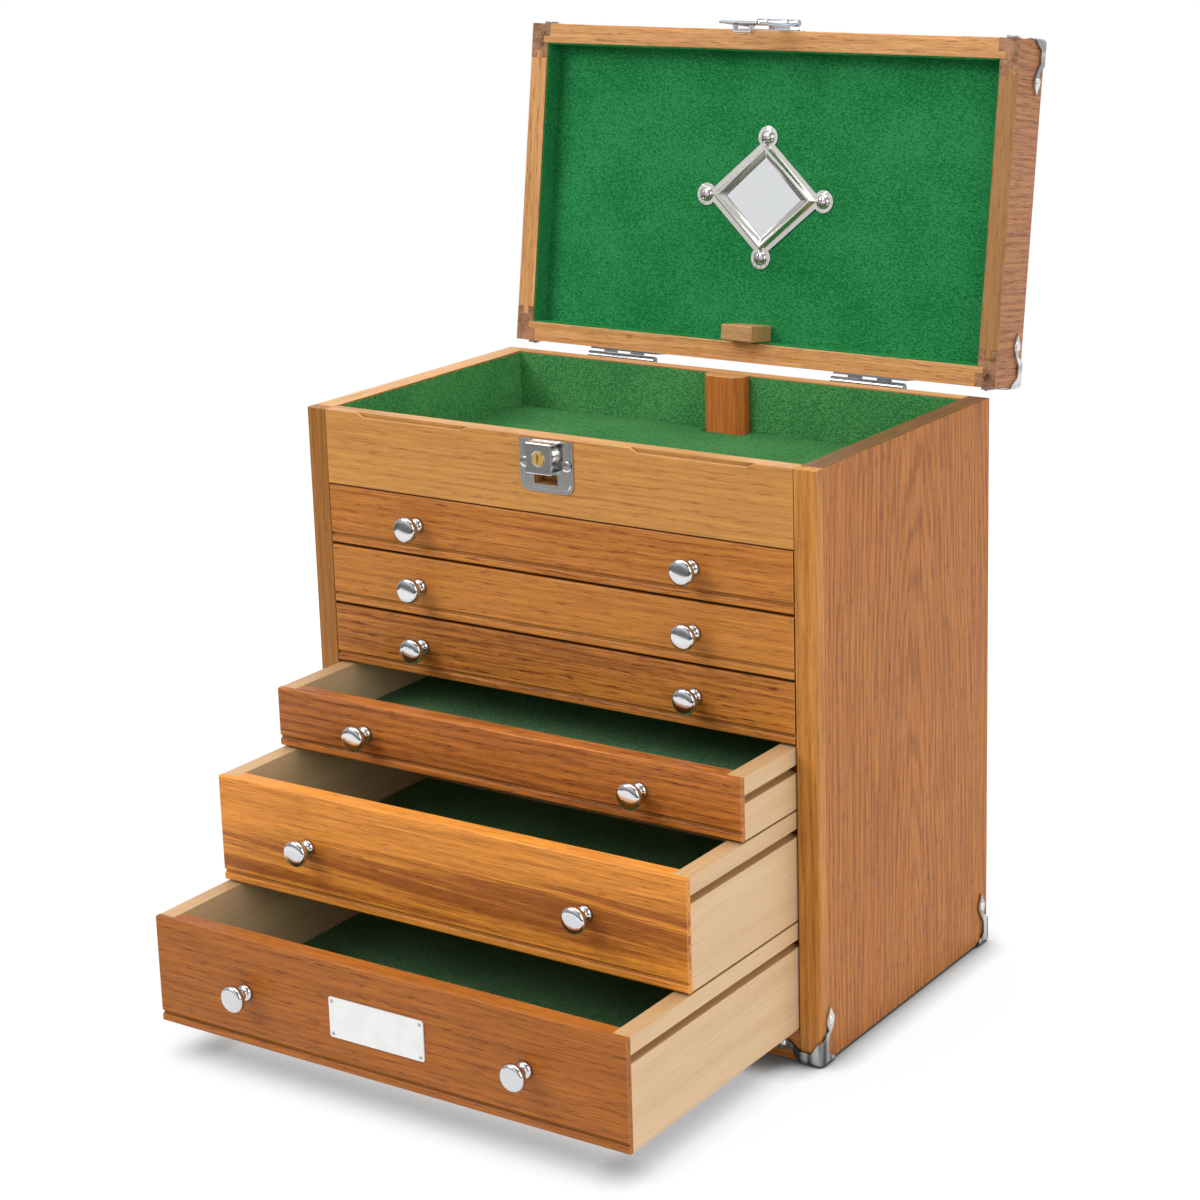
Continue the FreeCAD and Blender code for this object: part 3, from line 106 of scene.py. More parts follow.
class TimberSettings(bpy.types.PropertyGroup):
    """Stains, grain and finish of the wood."""

    grain_length: number_property("Grain length", 8.0, "Noise per metre along the grain")
    grain_width: number_property("Grain width", 400.0, "Noise per metre across the grain")
    fibre: number_property("Fibre", 1.1, "Strength of the long grain")
    streak: number_property("Streak", 1.35, "Strength of the short grain")
    pore_length: number_property("Pore length", 85.0, "Pores per metre along the grain")
    pore_width: number_property("Pore width", 1150.0, "Pores per metre across the grain")
    roughness: number_property("Roughness", 0.46, "Roughness of the finish", subtype="FACTOR")
    edge: length_property("Edge", 0.5 * MM, "Width of the eased edges")
    # Reach of the grooves' darkening, which is stain and painted shade
    groove: length_property("Groove", 3 * MM, "Reach of the stain in grooves")

    front_1_light: shade_property("Drawer 1, light", colour("CC8436"))
    front_1_dark: shade_property("Drawer 1, dark", colour("97541B"))
    front_2_light: shade_property("Drawer 2, light", colour("D18938"))
    front_2_dark: shade_property("Drawer 2, dark", colour("A05F24"))
    front_3_light: shade_property("Drawer 3, light", colour("D28637"))
    front_3_dark: shade_property("Drawer 3, dark", colour("884B17"))
    front_4_light: shade_property("Drawer 4, light", colour("C87830"))
    front_4_dark: shade_property("Drawer 4, dark", colour("82461A"))
    front_5_light: shade_property("Drawer 5, light", colour("E8963A"))
    front_5_dark: shade_property("Drawer 5, dark", colour("9C571B"))
    front_6_light: shade_property("Drawer 6, light", colour("B0651A"))
    front_6_dark: shade_property("Drawer 6, dark", colour("7E4308"))
    box_light: shade_property("Drawer box, light", colour("DEBE95"))
    box_dark: shade_property("Drawer box, dark", colour("C6A178"))
    box_rim_light: shade_property("Drawer rim, light", colour("CDA87C"))
    box_rim_dark: shade_property("Drawer rim, dark", colour("A98356"))
    case_light: shade_property("Case side, light", colour("BE752A"))
    case_dark: shade_property("Case side, dark", colour("8E5014"))
    case_rim_light: shade_property("Case rim, light", colour("D6A26A"))
    case_rim_dark: shade_property("Case rim, dark", colour("A8743F"))
    stile_light: shade_property("Stile, light", colour("CD8B40"))
    stile_dark: shade_property("Stile, dark", colour("9E6121"))
    till_light: shade_property("Till front, light", colour("D2964C"))
    till_dark: shade_property("Till front, dark", colour("AE7539"))
    bar_light: shade_property("Locking bar, light", colour("D57A34"))
    bar_dark: shade_property("Locking bar, dark", colour("A85C26"))
    lid_light: shade_property("Lid side, light", colour("BA7D50"))
    lid_dark: shade_property("Lid side, dark", colour("925C36"))
    lid_rim_light: shade_property("Lid rim, light", colour("DDA468"))
    lid_rim_dark: shade_property("Lid rim, dark", colour("AC7238"))


class FeltSettings(bpy.types.PropertyGroup):
    """Felt linings."""

    lid_light: shade_property("Lid, light", colour("328C52"))
    lid_dark: shade_property("Lid, dark", colour("116A32"))
    till_light: shade_property("Till, light", colour("5A9A58"))
    till_dark: shade_property("Till, dark", colour("2C713E"))
    drawer_light: shade_property("Drawers, light", colour("6A9368"))
    drawer_dark: shade_property("Drawers, dark", colour("3C6644"))

    fibre: number_property("Fibre", 900.0, "Fibres per metre")
    mottle: number_property("Mottle", 800.0, "Tufts per metre")


class MetalSettings(bpy.types.PropertyGroup):
    """Chrome, nickel, brass, steel and the handle's leather."""

    chrome: shade_property("Chrome", (0.66, 0.67, 0.69, 1.0))
    nickel: shade_property("Nickel", (0.72, 0.70, 0.66, 1.0))
    steel: shade_property("Steel", (0.50, 0.50, 0.51, 1.0))
    brass: shade_property("Brass", (0.98, 0.7, 0.26, 1.0))
    knob: shade_property("Knobs", (0.68, 0.68, 0.69, 1.0))
    leather_light: shade_property("Leather, light", colour("3A2316"))
    leather_dark: shade_property("Leather, dark", colour("22130B"))

    chrome_roughness: number_property("Chrome roughness", 0.12, "Roughness of the chrome", subtype="FACTOR")
    edge: length_property("Edge", 0.7 * MM, "Width of the eased edges")
    knob_steps: IntProperty(name="Knob steps", default=64, description="Steps round a turned knob")


class TrimSettings(bpy.types.PropertyGroup):
    """Screws, rivets, the spring and the bare plate."""

    rivet_radius: length_property("Rivet", 3 * MM, "Radius of a rivet's head")
    spring_wire: length_property("Spring wire", 1 * MM, "Thickness of the spring's wire")
    spring_turns: IntProperty(name="Spring turns", default=7, min=1, description="Turns of the spring")
    plate_size: FloatVectorProperty(name="Plate", size=3, unit="LENGTH",
                                    default=(74 * MM, 27 * MM, 0.8 * MM),
                                    description="Width, height and thickness of the plate")
    plate_place: FloatVectorProperty(name="Plate place", size=2, unit="LENGTH", default=(-3 * MM, 0.0),
                                     description="Offset of the plate from the middle of the front")
    plate_light: shade_property("Plate, light", colour("E6E6E4"))
    plate_dark: shade_property("Plate, dark", colour("DEDEDC"))


class StudioSettings(bpy.types.PropertyGroup):
    """Camera, lamps and floor."""

    camera: FloatVectorProperty(name="Camera", size=3, unit="LENGTH", default=(1.0083, -1.5081, 0.7896),
                                description="Place of the camera")
    turn: FloatVectorProperty(name="Turn", size=3, unit="ROTATION",
                              default=[math.radians(value) for value in (-32.665, 14.374, -1.208)],
                              description="Azimuth, drop and roll of the view")
    lens: number_property("Lens", 82.028, "Focal length in millimetres")
    shift: FloatVectorProperty(name="Shift", size=2, default=(-0.08333, -0.08333),
                               description="Shift of the lens as a share of the picture")
    room: number_property("Room", 0.8, "Strength of the room's light")
    # Reach of the floor's painted shadow, which follows how enclosed the floor is
    painted_shadow_reach: length_property("Shadow reach", 0.034, "How far the shadow under the chest spreads")


# Places of the sockets on a node that mixes colours: the share, the two colours and the mixed colour
MIX_SHARE = 0
MIX_FIRST = 6
MIX_SECOND = 7
MIX_RESULT = 2


class Nodes:
    """Short calls for building one tree of shader nodes."""

    def __init__(self, tree):
        self.tree = tree

    def add(self, kind, **settings):
        made = self.tree.nodes.new(kind)
        for key, value in settings.items():
            setattr(made, key, value)
        return made

    def feed(self, socket, value):
        """Link a socket to another, or give it a plain value."""
        if isinstance(value, bpy.types.NodeSocket):
            self.tree.links.new(value, socket)
        else:
            socket.default_value = value

    def coordinates(self, source="Object"):
        return self.add("ShaderNodeTexCoord").outputs[source]

    def part(self, axis, source="Object"):
        """One of the three coordinates."""
        parts = self.add("ShaderNodeSeparateXYZ")
        self.feed(parts.inputs[0], self.coordinates(source))
        return parts.outputs[axis]

    def place(self, turn=(0.0, 0.0, 0.0), scale=(1.0, 1.0, 1.0), shift=(0.0, 0.0, 0.0)):
        """Object coordinates, turned, shifted and then scaled."""
        source = self.coordinates()
        for kind, values in (("Rotation", turn), ("Location", shift), ("Scale", scale)):
            mapping = self.add("ShaderNodeMapping")
            self.feed(mapping.inputs["Vector"], source)
            mapping.inputs[kind].default_value = values
            source = mapping.outputs[0]
        return source

    def math(self, operation, first, second=0.0, third=0.0):
        made = self.add("ShaderNodeMath", operation=operation)
        for place, value in enumerate((first, second, third)):
            self.feed(made.inputs[place], value)
        return made.outputs[0]

    def weigh(self, start, *parts):
        """The sum of a start and of values times their weights."""
        for value, weight in parts:
            start = self.math("MULTIPLY_ADD", value, weight, start)
        return start

    def dot(self, first, second):
        """How far two directions agree: 1 when they are the same, -1 when they are opposite."""
        made = self.add("ShaderNodeVectorMath", operation="DOT_PRODUCT")
        self.feed(made.inputs[0], first)
        self.feed(made.inputs[1], second)
        return made.outputs["Value"]

    def texture(self, kind, vector, values, **settings):
        """A texture on some coordinates, with plain values for its other sockets."""
        made = self.add(kind, **settings)
        self.feed(made.inputs["Vector"], vector)
        for name, value in values.items():
            made.inputs[name].default_value = value
        return made.outputs["Fac"]

    def noise(self, vector, scale=1.0, detail=3.0, roughness=0.5, distortion=0.0):
        values = {"Scale": scale, "Detail": detail, "Roughness": roughness, "Distortion": distortion}
        return self.texture("ShaderNodeTexNoise", vector, values)

    def wave(self, vector, scale, distortion, direction=None):
        """Wandering bands across a direction, or rings where none is given."""
        if direction:
            kind = dict(wave_type="BANDS", bands_direction=direction)
        else:
            kind = dict(wave_type="RINGS", rings_direction="SPHERICAL")
        values = {"Scale": scale, "Distortion": distortion, "Detail": 3.0, "Detail Scale": 0.8}
        return self.texture("ShaderNodeTexWave", vector, values, wave_profile="SIN", **kind)

    def openness(self, reach, samples=16):
        """1 where nothing stands within reach of the surface, less in corners."""
        made = self.add("ShaderNodeAmbientOcclusion", samples=samples)
        made.inputs["Distance"].default_value = reach
        return made.outputs["AO"]

    def ramp(self, value, stops):
        """Greys or colours between stops, each of which is a place and a shade."""
        made = self.add("ShaderNodeValToRGB")
        self.feed(made.inputs[0], value)
        line = made.color_ramp.elements
        while len(line) < len(stops):
            line.new(0.5)
        for element, (place, shade) in zip(line, stops):
            element.position = place
            element.color = grey(shade) if isinstance(shade, float) else shade
        return made.outputs[0]

    def mix(self, share, first, second, blend="MIX"):
        made = self.add("ShaderNodeMix", data_type="RGBA", blend_type=blend)
        self.feed(made.inputs[MIX_SHARE], share)
        self.feed(made.inputs[MIX_FIRST], first)
        self.feed(made.inputs[MIX_SECOND], second)
        return made.outputs[MIX_RESULT]


class Shader(Nodes):
    """The nodes of one material."""

    def __init__(self, name):
        self.material = bpy.data.materials.new(name)
        self.material.use_nodes = True
        super().__init__(self.material.node_tree)
        self.surface = self.tree.nodes["Principled BSDF"]

    def bump(self, height, strength, distance):
        made = self.add("ShaderNodeBump")
        self.feed(made.inputs["Height"], height)
        made.inputs["Strength"].default_value = strength
        made.inputs["Distance"].default_value = distance
        self.feed(self.surface.inputs["Normal"], made.outputs[0])

    def set(self, **values):
        """Feed the surface's sockets, whose names have an underscore for each space."""
        for name, value in values.items():
            self.feed(self.surface.inputs[name.replace("_", " ")], value)


GRAIN_AXES = {"X": 0, "Y": 1, "Z": 2}
# Degrees that the lid stands open at rest
LID_ANGLE = 98.7
# How far one step of a board's seed moves its grain in metres
GRAIN_SHIFT = (1.37, 0.73, 2.11)
# Scales along and across the grain: broad streaks, growth lines, arched figure and strong band
BROAD_GRAIN = (2.6, 42.0)
LINE_GRAIN = (0.2, 1.0)
ARCH_GRAIN = (0.11, 1.0)
BAND_GRAIN = (1.8, 115.0)
# Scale of the short streaks as shares of the pores' own
STREAK_SHARES = (0.3, 0.8)
# What stained pores, the deeper board, and grooves, for stain and painted shade, keep of the dark colour
PORE_STAIN = (0.55, 0.38, 0.3)
DEEPER_STAIN = 0.45
GROOVE_STAIN_AND_SHADE = 0.25


def stretched(axis, along, across):
    """Scales that stretch a texture along one axis."""
    scales = [across] * 3
    scales[GRAIN_AXES[axis]] = along
    return scales


def lid_turn(lid):
    """The turn that brings the open lid's coordinates back to the shut one's."""
    return (math.radians(LID_ANGLE), 0.0, 0.0) if lid else (0.0, 0.0, 0.0)


def growth_lines(shader, turn, shift, grain, across, scale, wander, heart):
    """Growth lines of a board, or the arched figure round its heart."""
    if heart is None:
        lines = shader.wave(shader.place(turn, stretched(grain, *LINE_GRAIN), shift), scale, wander, across)
    else:
        centre = [-value for value in heart]
        lines = shader.wave(shader.place(turn, stretched(grain, *ARCH_GRAIN), centre), scale, wander)
    return shader.math("POWER", lines, 2.2)


def band_lines(shader, growth, shift, grain, middle, half, slope):
    """Growth lines that are strong in one sloping band and faint elsewhere."""
    spot = shader.place((0.0, -slope, 0.0), stretched(grain, *BAND_GRAIN), shift)
    strong = shader.ramp(shader.noise(spot, detail=2.0, distortion=0.8), ((0.44, 0.0), (0.6, 1.0)))
    height = shader.math("MULTIPLY_ADD", shader.part("X"), -slope, shader.part("Z"))
    step = shader.math("DIVIDE", shader.math("SUBTRACT", height, middle), half)
    share = shader.math("MAXIMUM", shader.math("SUBTRACT", 1.0, shader.math("MULTIPLY", step, step)), 0.0)
    return shader.weigh(0.0, (growth, 0.2), (shader.math("MULTIPLY", strong, share), 1.3))


def wood_colour(shader, light, dark, grain, seed, lid=False, tone=0.5, line=0.3, line_scale=50.0,
                wander=6.0, dash=0.5, flame=None, across="Z", band=None, deeper=None, figured=1.0):
    """Colour, surface height and fibre of a stained board whose grain runs along one axis.

    tone is the strength of the broad streaks, line that of the growth lines, dash that of the pores.
    flame is the heart of an arched figure, and band the middle, half height and slope of a stripe of
    strong figure, where a board has one. deeper says which of two boards took more stain, -1 the left
    and 1 the right one, and how much. figured is the strength of the fine grain."""
    settings = bpy.context.scene.chest_timber
    turn = lid_turn(lid)
    shift = [seed * value for value in GRAIN_SHIFT]

    def grain_noise(scales, **look):
        return shader.noise(shader.place(turn, stretched(grain, *scales), shift), **look)

    pores = (settings.pore_length, settings.pore_width)
    broad = grain_noise(BROAD_GRAIN, detail=3.0, distortion=0.4)
    fibre = grain_noise((settings.grain_length, settings.grain_width), detail=6.0, roughness=0.7)
    pore = grain_noise(pores, detail=2.0)
    streaks = grain_noise([size * share for size, share in zip(pores, STREAK_SHARES)],
                          detail=3.0, roughness=0.6)
    growth = growth_lines(shader, turn, shift, grain, across, line_scale, wander, flame)
    if band:
        growth = band_lines(shader, growth, shift, grain, *band)
    grains = (settings.fibre + settings.streak) * figured
    mixed = shader.weigh(0.45 - tone / 2 - line / 3 - grains / 2, (broad, tone), (growth, line),
                         (fibre, settings.fibre * figured), (streaks, settings.streak * figured))
    base = shader.ramp(mixed, ((0.1, light), (0.9, dark)))
    pits = shader.math("MULTIPLY", shader.ramp(pore, ((0.55, 0.0), (0.68, 1.0))),
                       shader.math("MULTIPLY_ADD", growth, 0.6, 0.5))
    tinted = shader.mix(shader.math("MULTIPLY", pits, dash), base, darker(dark, PORE_STAIN))
    if deeper:
        side, strength = deeper
        reach = shader.math("MULTIPLY", shader.part("X"), float(side))
        board = shader.math("MULTIPLY", shader.math("GREATER_THAN", reach, 0.0), strength)
        tinted = shader.mix(board, tinted, darker(dark, DEEPER_STAIN))
    return tinted, shader.math("MULTIPLY_ADD", pits, -0.8, fibre), fibre


def facing(shader, direction):
    """1 on the faces that look along a direction or against it, and 0 elsewhere."""
    agreement = shader.dot(shader.coordinates("Normal"), direction)
    return shader.math("GREATER_THAN", shader.math("ABSOLUTE", agreement), 0.7)


def edge_share(shader, width):
    """1 close to a sharp edge and 0 on a flat face."""
    rounded = shader.add("ShaderNodeBevel", samples=8)
    rounded.inputs["Radius"].default_value = width
    agreement = shader.dot(rounded.outputs[0], shader.add("ShaderNodeNewGeometry").outputs["Normal"])
    return shader.ramp(agreement, ((0.88, 1.0), (0.99, 0.0)))


def groove_share(shader, reach):
    """1 deep in a groove and 0 on an open face."""
    return shader.ramp(shader.openness(reach, samples=6), ((0.45, 1.0), (0.85, 0.0)))


def use(node, material):
    """Give every slot of a CAD node one material."""
    piece = NODES[node]
    if not piece.data.materials:
        piece.data.materials.append(material)
    for slot in piece.material_slots:
        slot.material = material


def stain(node, light, dark, grain="X", seed=0.0, lid=False, faces=(), wear_and_painted_light=False, **figure):
    """Give a CAD node a wood of its own.

    faces are (direction, figure) pairs for sides cut from another board. With wear_and_painted_light, edges
    are paler, as wear and a painted highlight, and grooves are darker, as stain that gathers there and as
    painted shade."""
    settings = bpy.context.scene.chest_timber
    shader = Shader(node)
    base, height, fibre = wood_colour(shader, light, dark, grain, seed, lid, **figure)
    for direction, other in faces:
        share = facing(shader, direction)
        tint, relief = wood_colour(shader, seed=seed + 0.5, lid=lid, **other)[:2]
        base = shader.mix(share, base, tint)
        height = shader.math("ADD", shader.math("MULTIPLY", height, shader.math("SUBTRACT", 1.0, share)),
                             shader.math("MULTIPLY", relief, share))
    if wear_and_painted_light:
        # Grooves and reveals darker by how enclosed they are: stain, and painted shade
        deep = shader.math("MULTIPLY", groove_share(shader, settings.groove), 0.75)
        base = shader.mix(deep, base, darker(dark, GROOVE_STAIN_AND_SHADE))
        # Paler edges: wear, and a painted highlight
        edge_wear_and_highlight = shader.math("MULTIPLY", edge_share(shader, settings.edge * 2.2), 0.45)
        base = shader.mix(edge_wear_and_highlight, base, tuple(part ** 0.7 for part in light[:3]) + (1.0,))
    shader.set(Base_Color=base, Specular_IOR_Level=0.3,
               Roughness=shader.math("MULTIPLY_ADD", fibre, 0.2, settings.roughness - 0.1))
    shader.bump(height, 0.25, 0.2 * MM)
    use(node, shader.material)


def make_felt(name, light, dark, lid=False, flat_painted_shade=1.0):
    """Pressed felt with tufts and loose fibres; flat_painted_shade is how dark the painted shade makes it
    where it lies flat.
    """
    settings = bpy.context.scene.chest_felt
    shader = Shader(name)
    turn = lid_turn(lid)
    spot = shader.place(turn)
    tufts = shader.noise(shader.place(turn, (0.55, 1.0, 1.0)), settings.mottle, 4.0, 0.75)
    cloud = shader.noise(spot, 22.0, 3.0)
    fibres = shader.noise(spot, settings.fibre, 3.0, 0.8)
    mixed = shader.weigh(0.0, (cloud, 0.15), (tufts, 0.6), (fibres, 0.5))
    base = shader.ramp(mixed, ((0.58, dark), (0.675, light)))
    # Painted shade: faces that lie flat are darkened
    if flat_painted_shade < 1.0:
        base = shader.mix(facing(shader, UP), base, grey(flat_painted_shade), "MULTIPLY")
    shader.set(Base_Color=base, Roughness=0.95, Specular_IOR_Level=0.12,
               Sheen_Weight=0.25, Sheen_Roughness=0.6, Sheen_Tint=light)
    shader.bump(shader.weigh(tufts, (fibres, 0.5)), 0.55, 0.6 * MM)
    return shader.material


# Painted highlight for edges of plated pieces, as if they caught the lamps, and painted shade for edges, as
# if they turned from them
PAINTED_HIGHLIGHT_RIM = (0.97, 0.97, 0.96, 1.0)
PAINTED_SHADE_RIM = (0.12, 0.12, 0.13, 1.0)
# What haze, and the painted dark reflections on a narrow piece, keep of the metal's colour
HAZE = 0.9
PAINTED_REFLECTION = 0.15


def make_metal(name, shade, roughness, brushed=None, rim=0.0, painted_rim_colour=PAINTED_HIGHLIGHT_RIM, streaks=None):
    """Plated metal with faint haze, and a brushed grain where an axis is given.

    rim is the width in millimetres of the edges painted in painted_rim_colour, the painted highlight or
    painted shade that the caller gives; streaks are the axis and the number per metre of the painted dark
    reflections along a narrow piece."""
    shader = Shader(name)
    if brushed:
        fine = shader.noise(shader.place(scale=stretched(brushed, 30.0, 2600.0)), 1.0, 3.0)
    else:
        fine = shader.noise(shader.place(), 700.0, 3.0)
    base = shader.mix(shader.noise(shader.place(), 55.0, 4.0), shade, darker(shade, HAZE))
    # Painted dark reflections in streaks along a narrow piece
    if streaks:
        axis, number = streaks
        lines = shader.noise(shader.place(scale=stretched(axis, 12.0, number)), detail=1.0)
        base = shader.mix(shader.ramp(lines, ((0.42, 0.7), (0.56, 0.0))), base, darker(shade, PAINTED_REFLECTION))
    # Edges painted in painted_rim_colour: the painted highlight or painted shade that the caller gives
    if rim:
        base = shader.mix(edge_share(shader, rim * MM), base, painted_rim_colour)
    shader.set(Base_Color=base, Metallic=1.0,
               Roughness=shader.math("MULTIPLY_ADD", fine, 0.12, roughness - 0.04))
    shader.bump(fine, 0.05, 0.05 * MM)
    return shader.material


# Corners closer than this are one corner
WELD_REACH = 0.01 * MM
# Edges sharper than this are eased, and on turned heads kept crisp
EASED_ANGLE = math.radians(50)
CRISP_ANGLE = math.radians(40)


def ease_edges(node, width):
    """Round a CAD node's sharp edges a little with modifiers."""
    piece = NODES[node]
    weld = piece.modifiers.new("weld", "WELD")
    weld.merge_threshold = WELD_REACH
    bevel = piece.modifiers.new("edge", "BEVEL")
    bevel.width = width
    bevel.segments = 3
    bevel.limit_method = "ANGLE"
    bevel.angle_limit = EASED_ANGLE
    bevel.use_clamp_overlap = True
    bevel.harden_normals = False


def new_piece(name, mesh, body, material, replaces=()):
    """Put a finished mesh on its body."""
    piece = bpy.data.objects.new(name, mesh)
    bpy.context.scene.collection.objects.link(piece)
    mesh.materials.append(material)
    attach(piece, body)
    if replaces:
        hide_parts(*replaces)
    return piece


def finished(name, shape, smooth=True):
    """Turn a shape into a mesh, and free the shape."""
    mesh = bpy.data.meshes.new(name)
    shape.to_mesh(mesh)
    shape.free()
    if smooth:
        for face in mesh.polygons:
            face.use_smooth = True
    return mesh


def lathe(name, profile, steps, places):
    """Turned solids from one profile of radius and height, at each place and direction."""
    shape = bmesh.new()
    angles = [step * math.tau / steps for step in range(steps)]
    circle = [(math.cos(angle), math.sin(angle)) for angle in angles]
    for centre, direction in places:
        turn = UP.rotation_difference(Vector(direction)).to_matrix()
        rows = []
        for radius, height in profile:
            spots = [(radius * x, radius * y, height) for x, y in circle] if radius > 0 else [(0, 0, height)]
            rows.append([shape.verts.new(centre + turn @ Vector(spot)) for spot in spots])
        for lower, upper in zip(rows, rows[1:]):
            for step in range(steps):
                after = (step + 1) % steps
                corners = [lower[step % len(lower)], lower[after % len(lower)],
                           upper[after % len(upper)], upper[step % len(upper)]]
                unique = list(dict.fromkeys(corners))
                if len(unique) > 2:
                    shape.faces.new(unique)
        if len(rows[0]) > 1:
            shape.faces.new(list(reversed(rows[0])))
    bmesh.ops.recalc_face_normals(shape, faces=shape.faces)
    return finished(name, shape)


# Figure of the drawer fronts, from the top down
FRONT_FIGURES = (
    dict(tone=0.45, line=0.15, dash=0.8),
    dict(tone=0.4, line=0.12, dash=0.7),
    dict(tone=0.8, line=0.2, dash=1.0),
    dict(tone=0.9, line=0.3, dash=1.0, wander=9.0),
    dict(tone=0.35, line=0.6, dash=0.6, band=(0.126, 0.022, 0.05)),
    dict(tone=0.5, line=0.15, dash=0.8),
)
BOX_FIGURE = dict(grain="Y", tone=0.6, line=0.1, line_scale=14.0, dash=0.1, figured=0.5)
RIM_FIGURE = dict(grain="X", line=0.3, dash=0.4)
LID_RIM_FIGURE = dict(line=0.12, dash=0.8)
VENEER_FIGURE = dict(grain="Z", across="Y", line=0.38, line_scale=62.0, wander=11.0, dash=1.0, tone=0.35,
                     figured=1.5)
END_FIGURE = dict(grain="Z", line=0.5, line_scale=150.0, dash=1.0, tone=1.4)
# What is added to a drawer's number for the seed of its box
BOX_SEED = 7
# Direction that the rim of the open lid faces
RIM_FACE = (0.0, -math.sin(math.radians(LID_ANGLE)), -math.cos(math.radians(LID_ANGLE)))


class CHEST_OT_timber(bpy.types.Operator):
    """Stain every wooden piece with its own grain"""

    bl_idname = "chest.timber"
    bl_label = "Timber"

    def stain_drawers(self, settings):
        box = dict(BOX_FIGURE, **shades(settings, "box"))
        rim = dict(box, **shades(settings, "box_rim"))
        for number, figure in zip(DRAWERS, FRONT_FIGURES):
            front = shades(settings, "front_%d" % number)
            stain("drawer_%d_front" % number, seed=number, wear_and_painted_light=True, **front, **figure)
            stain("drawer_%d_box" % number, seed=number + BOX_SEED, faces=[(UP, rim)], **box)

    def stain_case(self, settings):
        rim = dict(RIM_FIGURE, **shades(settings, "case_rim"))
        pale = dict(rim, grain="Y")
        deep = dict(pale, light=colour("7C5432"), dark=colour("4E301A"))
        veneer = dict(VENEER_FIGURE, **shades(settings, "case"))
        stain("case_side_left", seed=13.0, faces=[(UP, pale)], flame=(-0.2, 0.02, 0.0), **veneer)
        stain("case_side_right", seed=14.0, faces=[(UP, deep)], flame=(0.2, 0.01, 0.02), **veneer)
        stain("front_stiles", grain="Z", seed=12.0, tone=0.5, line=0.3, across="X", deeper=(-1, 0.5),
              wear_and_painted_light=True, **shades(settings, "stile"))
        stain("till_front", seed=11.0, tone=0.4, line=0.15, wear_and_painted_light=True, faces=[(UP, rim)],
              **shades(settings, "till"))
        stain("case_back", colour("BA8250"), colour("85532F"), "X", 15.0, faces=[(UP, rim)])
        stain("base_rail", colour("B87638"), colour("86501F"), "X", 16.0)
        for node in ("case_bottom", "till_floor", "lock_bar_guide"):
            stain(node, colour("B98A5A"), colour("7A5430"), "X", 17.0)
        stain("drawer_runners", colour("8A4E2A"), colour("4E2814"), "Y", 18.0)
        stain("lock_bar", grain="Z", seed=19.0, line=0.2, across="X", faces=[(UP, rim)],
              **shades(settings, "bar"))

    def stain_lid(self, settings):
        rim = dict(LID_RIM_FIGURE, **shades(settings, "lid_rim"))
        veneer = dict(VENEER_FIGURE, **shades(settings, "lid"))
        end = dict(END_FIGURE, light=colour("B0805C"), dark=colour("502C16"))
        stain("lid_front_rail", grain="X", seed=21.0, lid=True, across="Y", **rim)
        stain("lid_rear_rail", grain="X", seed=22.0, lid=True, across="Y", **rim)
        stain("lid_sides", grain="Y", seed=23.0, lid=True, across="X", deeper=(1, 0.6),
              faces=[(SIDEWAYS, veneer)], **rim)
        stain("lid_corner_posts", seed=23.0, lid=True, faces=[(RIM_FACE, end)], **veneer)
        stain("lid_top", colour("BE8656"), colour("875633"), "X", 25.0, lid=True)
        stain("lock_block", colour("CFA06B"), colour("AD7A4A"), "X", 20.0, lid=True, line_scale=120.0,
              line=0.3)

    def execute(self, context):
        settings = context.scene.chest_timber
        self.stain_drawers(settings)
        self.stain_case(settings)
        self.stain_lid(settings)
        drawers = ["drawer_%d_%s" % (number, part) for number in DRAWERS for part in ("front", "box")]
        for node in (*drawers, "till_front", "front_stiles", "case_side_left", "case_side_right", "case_back",
                     "lid_front_rail", "lid_rear_rail", "lid_sides", "lock_block", "lock_bar"):
            ease_edges(node, settings.edge)
        return {"FINISHED"}


class CHEST_OT_felt(bpy.types.Operator):
    """Line the till, the lid and the drawers with felt"""

    bl_idname = "chest.felt"
    bl_label = "Felt"

    def execute(self, context):
        settings = context.scene.chest_felt
        use("lid_lining", make_felt("lid_felt", lid=True, **shades(settings, "lid")))
        use("till_lining", make_felt("till_felt", flat_painted_shade=0.64, **shades(settings, "till")))
        duller = make_felt("drawer_felt", **shades(settings, "drawer"))
        for number in DRAWERS:
            use("drawer_%d_felt" % number, duller)
        return {"FINISHED"}


